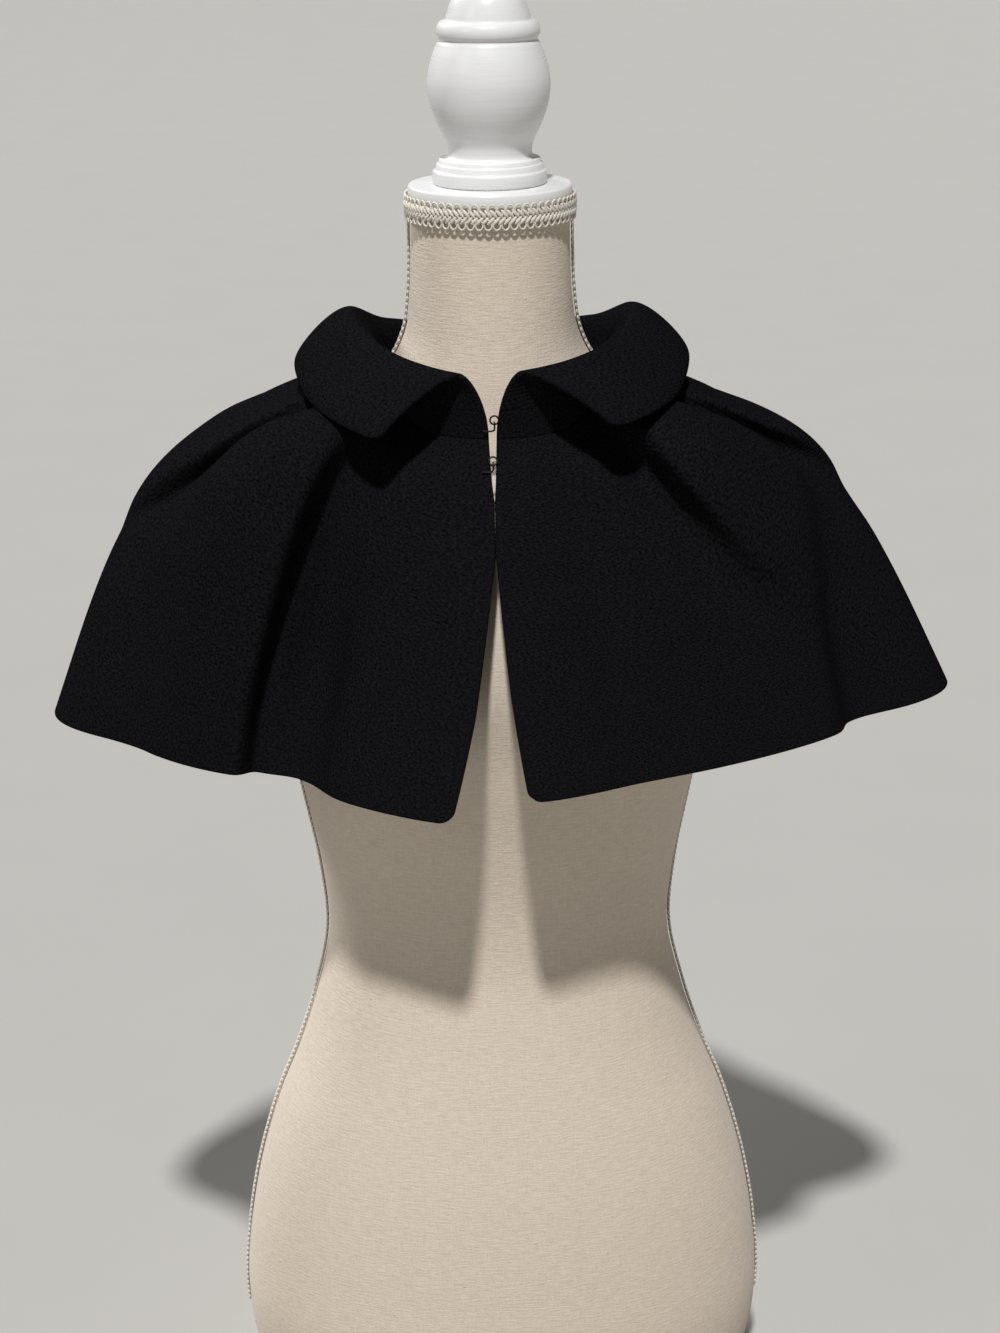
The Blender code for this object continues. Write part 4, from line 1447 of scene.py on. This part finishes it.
class CAPELET_OT_trims(bpy.types.Operator):
    """Looped braid round the neck and plaited cords over the side seams"""

    bl_idname = "capelet.trims"
    bl_label = "Braid and cords"

    def execute(self, context):
        form = context.scene.capelet_form
        turn = np.linspace(0.0, 2.0 * pi, RING_STEPS + 1)[:-1]
        outs = np.stack((np.cos(turn), np.sin(turn), np.zeros_like(turn)), -1)
        ring = outs * NECK_TRIM_RADIUS + (0.0, 0.0, NECK_TRIM_MIDDLE)
        whole_turn = 2.0 * pi * NECK_TRIM_RADIUS
        loops = round(whole_turn / form.loop_pitch)
        plait = plait_tree()
        heading = {
            "Pitch": whole_turn / round(STRANDS_PER_LOOP * loops),
            "Strand length": 0.0070,
            "Strand width": 0.0025,
            "Strand height": 0.0024,
            "Offset": 0.0021,
            "Slant": radians(48),
        }
        braid = lay_trim("braid_neck_heading", ring, outs, True, plait, heading)
        hand_over(braid, "braid", "form_neck_trim")
        edging = {"Pitch": whole_turn / loops}
        edge = lay_trim("braid_neck_loops", ring, outs, True, loop_tree(), edging)
        hand_over(edge, "braid", "form_neck_trim")
        rows, _ = form_profile(CORD_STEPS)
        kept = (rows[:, 0] > SIDE_TRIM_END) & (rows[:, 0] < SIDE_TRIM_TOP)
        seam = rows[kept][::-1, :2]
        along = np.gradient(seam, axis=0)
        facing = np.stack((-along[:, 0], along[:, 1]), -1)
        facing = facing / length(facing)
        cord = {
            "Pitch": form.cord_pitch,
            "Strand length": 0.0056,
            "Strand width": 0.0023,
            "Strand height": 0.0021,
            "Offset": 0.0011,
            "Slant": radians(27),
        }
        for sign, label in ((1.0, "left"), (-1.0, "right")):
            outs = np.stack((sign * facing[:, 0], np.zeros(len(seam)), facing[:, 1]), -1)
            path = np.stack((sign * seam[:, 1], np.zeros(len(seam)), seam[:, 0]), -1)
            path = path + outs * (SEAT_GAP + CORD_RISE)
            side = lay_trim("braid_side_cord_" + label, path, outs, False, plait, cord)
            hand_over(side, "braid", "form_side_trim_" + label)
        return {"FINISHED"}


class CAPELET_OT_stage(bpy.types.Operator):
    """Pale floor, three lights and the camera"""

    bl_idname = "capelet.stage"
    bl_label = "Stage"

    def execute(self, context):
        scene = context.scene
        settings = scene.capelet_stage
        # The paper lies flat far past the frame, and is turned up at its edges.
        reach = FLOOR_REACH
        square = ((-reach, -reach), (reach, -reach), (reach, reach), (-reach, reach))
        verts = [(x, y, z) for z in (0.0, FLOOR_UPSTAND) for x, y in square]
        walls = [(i, i + 4, (i + 1) % 4 + 4, (i + 1) % 4) for i in range(4)]
        mesh = bpy.data.meshes.new("floor")
        mesh.from_pydata(verts, [], [(0, 1, 2, 3)] + walls)
        link_piece("floor", mesh, floor_paper)

        lights = (
            ("key_light", (-0.05, -0.47, 0.88), radians(3.5), settings.key_strength),
            ("side_light", (-0.74, -0.50, 0.45), radians(20), settings.side_strength),
            ("back_light", (-0.62, 0.62, 0.48), radians(12), settings.back_strength),
        )
        for name, source, angle, strength in lights:
            data = bpy.data.lights.new(name, "SUN")
            data.angle = angle
            data.energy = strength
            lamp = bpy.data.objects.new(name, data)
            lamp.location = LAMP_REACH * Vector(source)
            lamp.rotation_euler = Vector(source).to_track_quat("Z", "Y").to_euler()
            scene.collection.objects.link(lamp)

        world = bpy.data.worlds.new("even_light")
        world.use_nodes = True
        background = world.node_tree.nodes["Background"]
        background.inputs["Color"].default_value = (1.0, 0.99, 0.97, 1.0)
        background.inputs["Strength"].default_value = settings.fill_strength
        scene.world = world
        scene.view_settings.view_transform = "Standard"

        level = cos(CAMERA_TILT)
        back = Vector((sin(CAMERA_YAW) * level, -cos(CAMERA_YAW) * level, sin(CAMERA_TILT)))
        right = (-back).cross(Vector((0.0, 0.0, 1.0))).normalized()
        up = right.cross(-back)
        across = right * cos(CAMERA_ROLL) + up * sin(CAMERA_ROLL)
        upright = up * cos(CAMERA_ROLL) - right * sin(CAMERA_ROLL)
        data = bpy.data.cameras.new("camera")
        data.sensor_width = SENSOR
        data.lens = SENSOR * LENS_PIXELS / PICTURE_PIXELS
        camera = bpy.data.objects.new("camera", data)
        camera.matrix_world = Matrix((across, upright, back)).transposed().to_4x4()
        camera.location = Vector(CAMERA_AIM) + back * CAMERA_REACH
        scene.collection.objects.link(camera)
        scene.camera = camera
        return {"FINISHED"}


class CAPELET_PT_sidebar(bpy.types.Panel):
    """Capelet pieces and their settings"""

    bl_label = "Capelet"
    bl_idname = "CAPELET_PT_sidebar"
    bl_space_type = "VIEW_3D"
    bl_region_type = "UI"
    bl_category = "Capelet"

    def draw(self, context):
        for group in ("capelet_cloth", "capelet_form", "capelet_stage"):
            settings = getattr(context.scene, group)
            box = self.layout.box()
            for key in settings.bl_rna.properties.keys():
                if key not in ("rna_type", "name"):
                    box.prop(settings, key)
        for operator in OPERATORS:
            self.layout.operator(operator.bl_idname)


OPERATORS = (
    CAPELET_OT_panels,
    CAPELET_OT_collar,
    CAPELET_OT_fastenings,
    CAPELET_OT_body,
    CAPELET_OT_turnings,
    CAPELET_OT_trims,
    CAPELET_OT_stage,
)
CLASSES = (CapeletSettings, DressFormSettings, StageSettings) + OPERATORS + (CAPELET_PT_sidebar,)


def register():
    """Add the settings, operators and panel."""
    for item in CLASSES:
        bpy.utils.register_class(item)
    bpy.types.Scene.capelet_cloth = PointerProperty(type=CapeletSettings)
    bpy.types.Scene.capelet_form = PointerProperty(type=DressFormSettings)
    bpy.types.Scene.capelet_stage = PointerProperty(type=StageSettings)


def unregister():
    """Remove the settings, operators and panel."""
    del bpy.types.Scene.capelet_stage
    del bpy.types.Scene.capelet_form
    del bpy.types.Scene.capelet_cloth
    for item in reversed(CLASSES):
        bpy.utils.unregister_class(item)


def main():
    """Make every piece and the stage."""
    register()
    bpy.ops.capelet.panels()
    bpy.ops.capelet.collar()
    bpy.ops.capelet.fastenings()
    bpy.ops.capelet.body()
    bpy.ops.capelet.turnings()
    bpy.ops.capelet.trims()
    bpy.ops.capelet.stage()


if __name__ == "__main__":
    main()
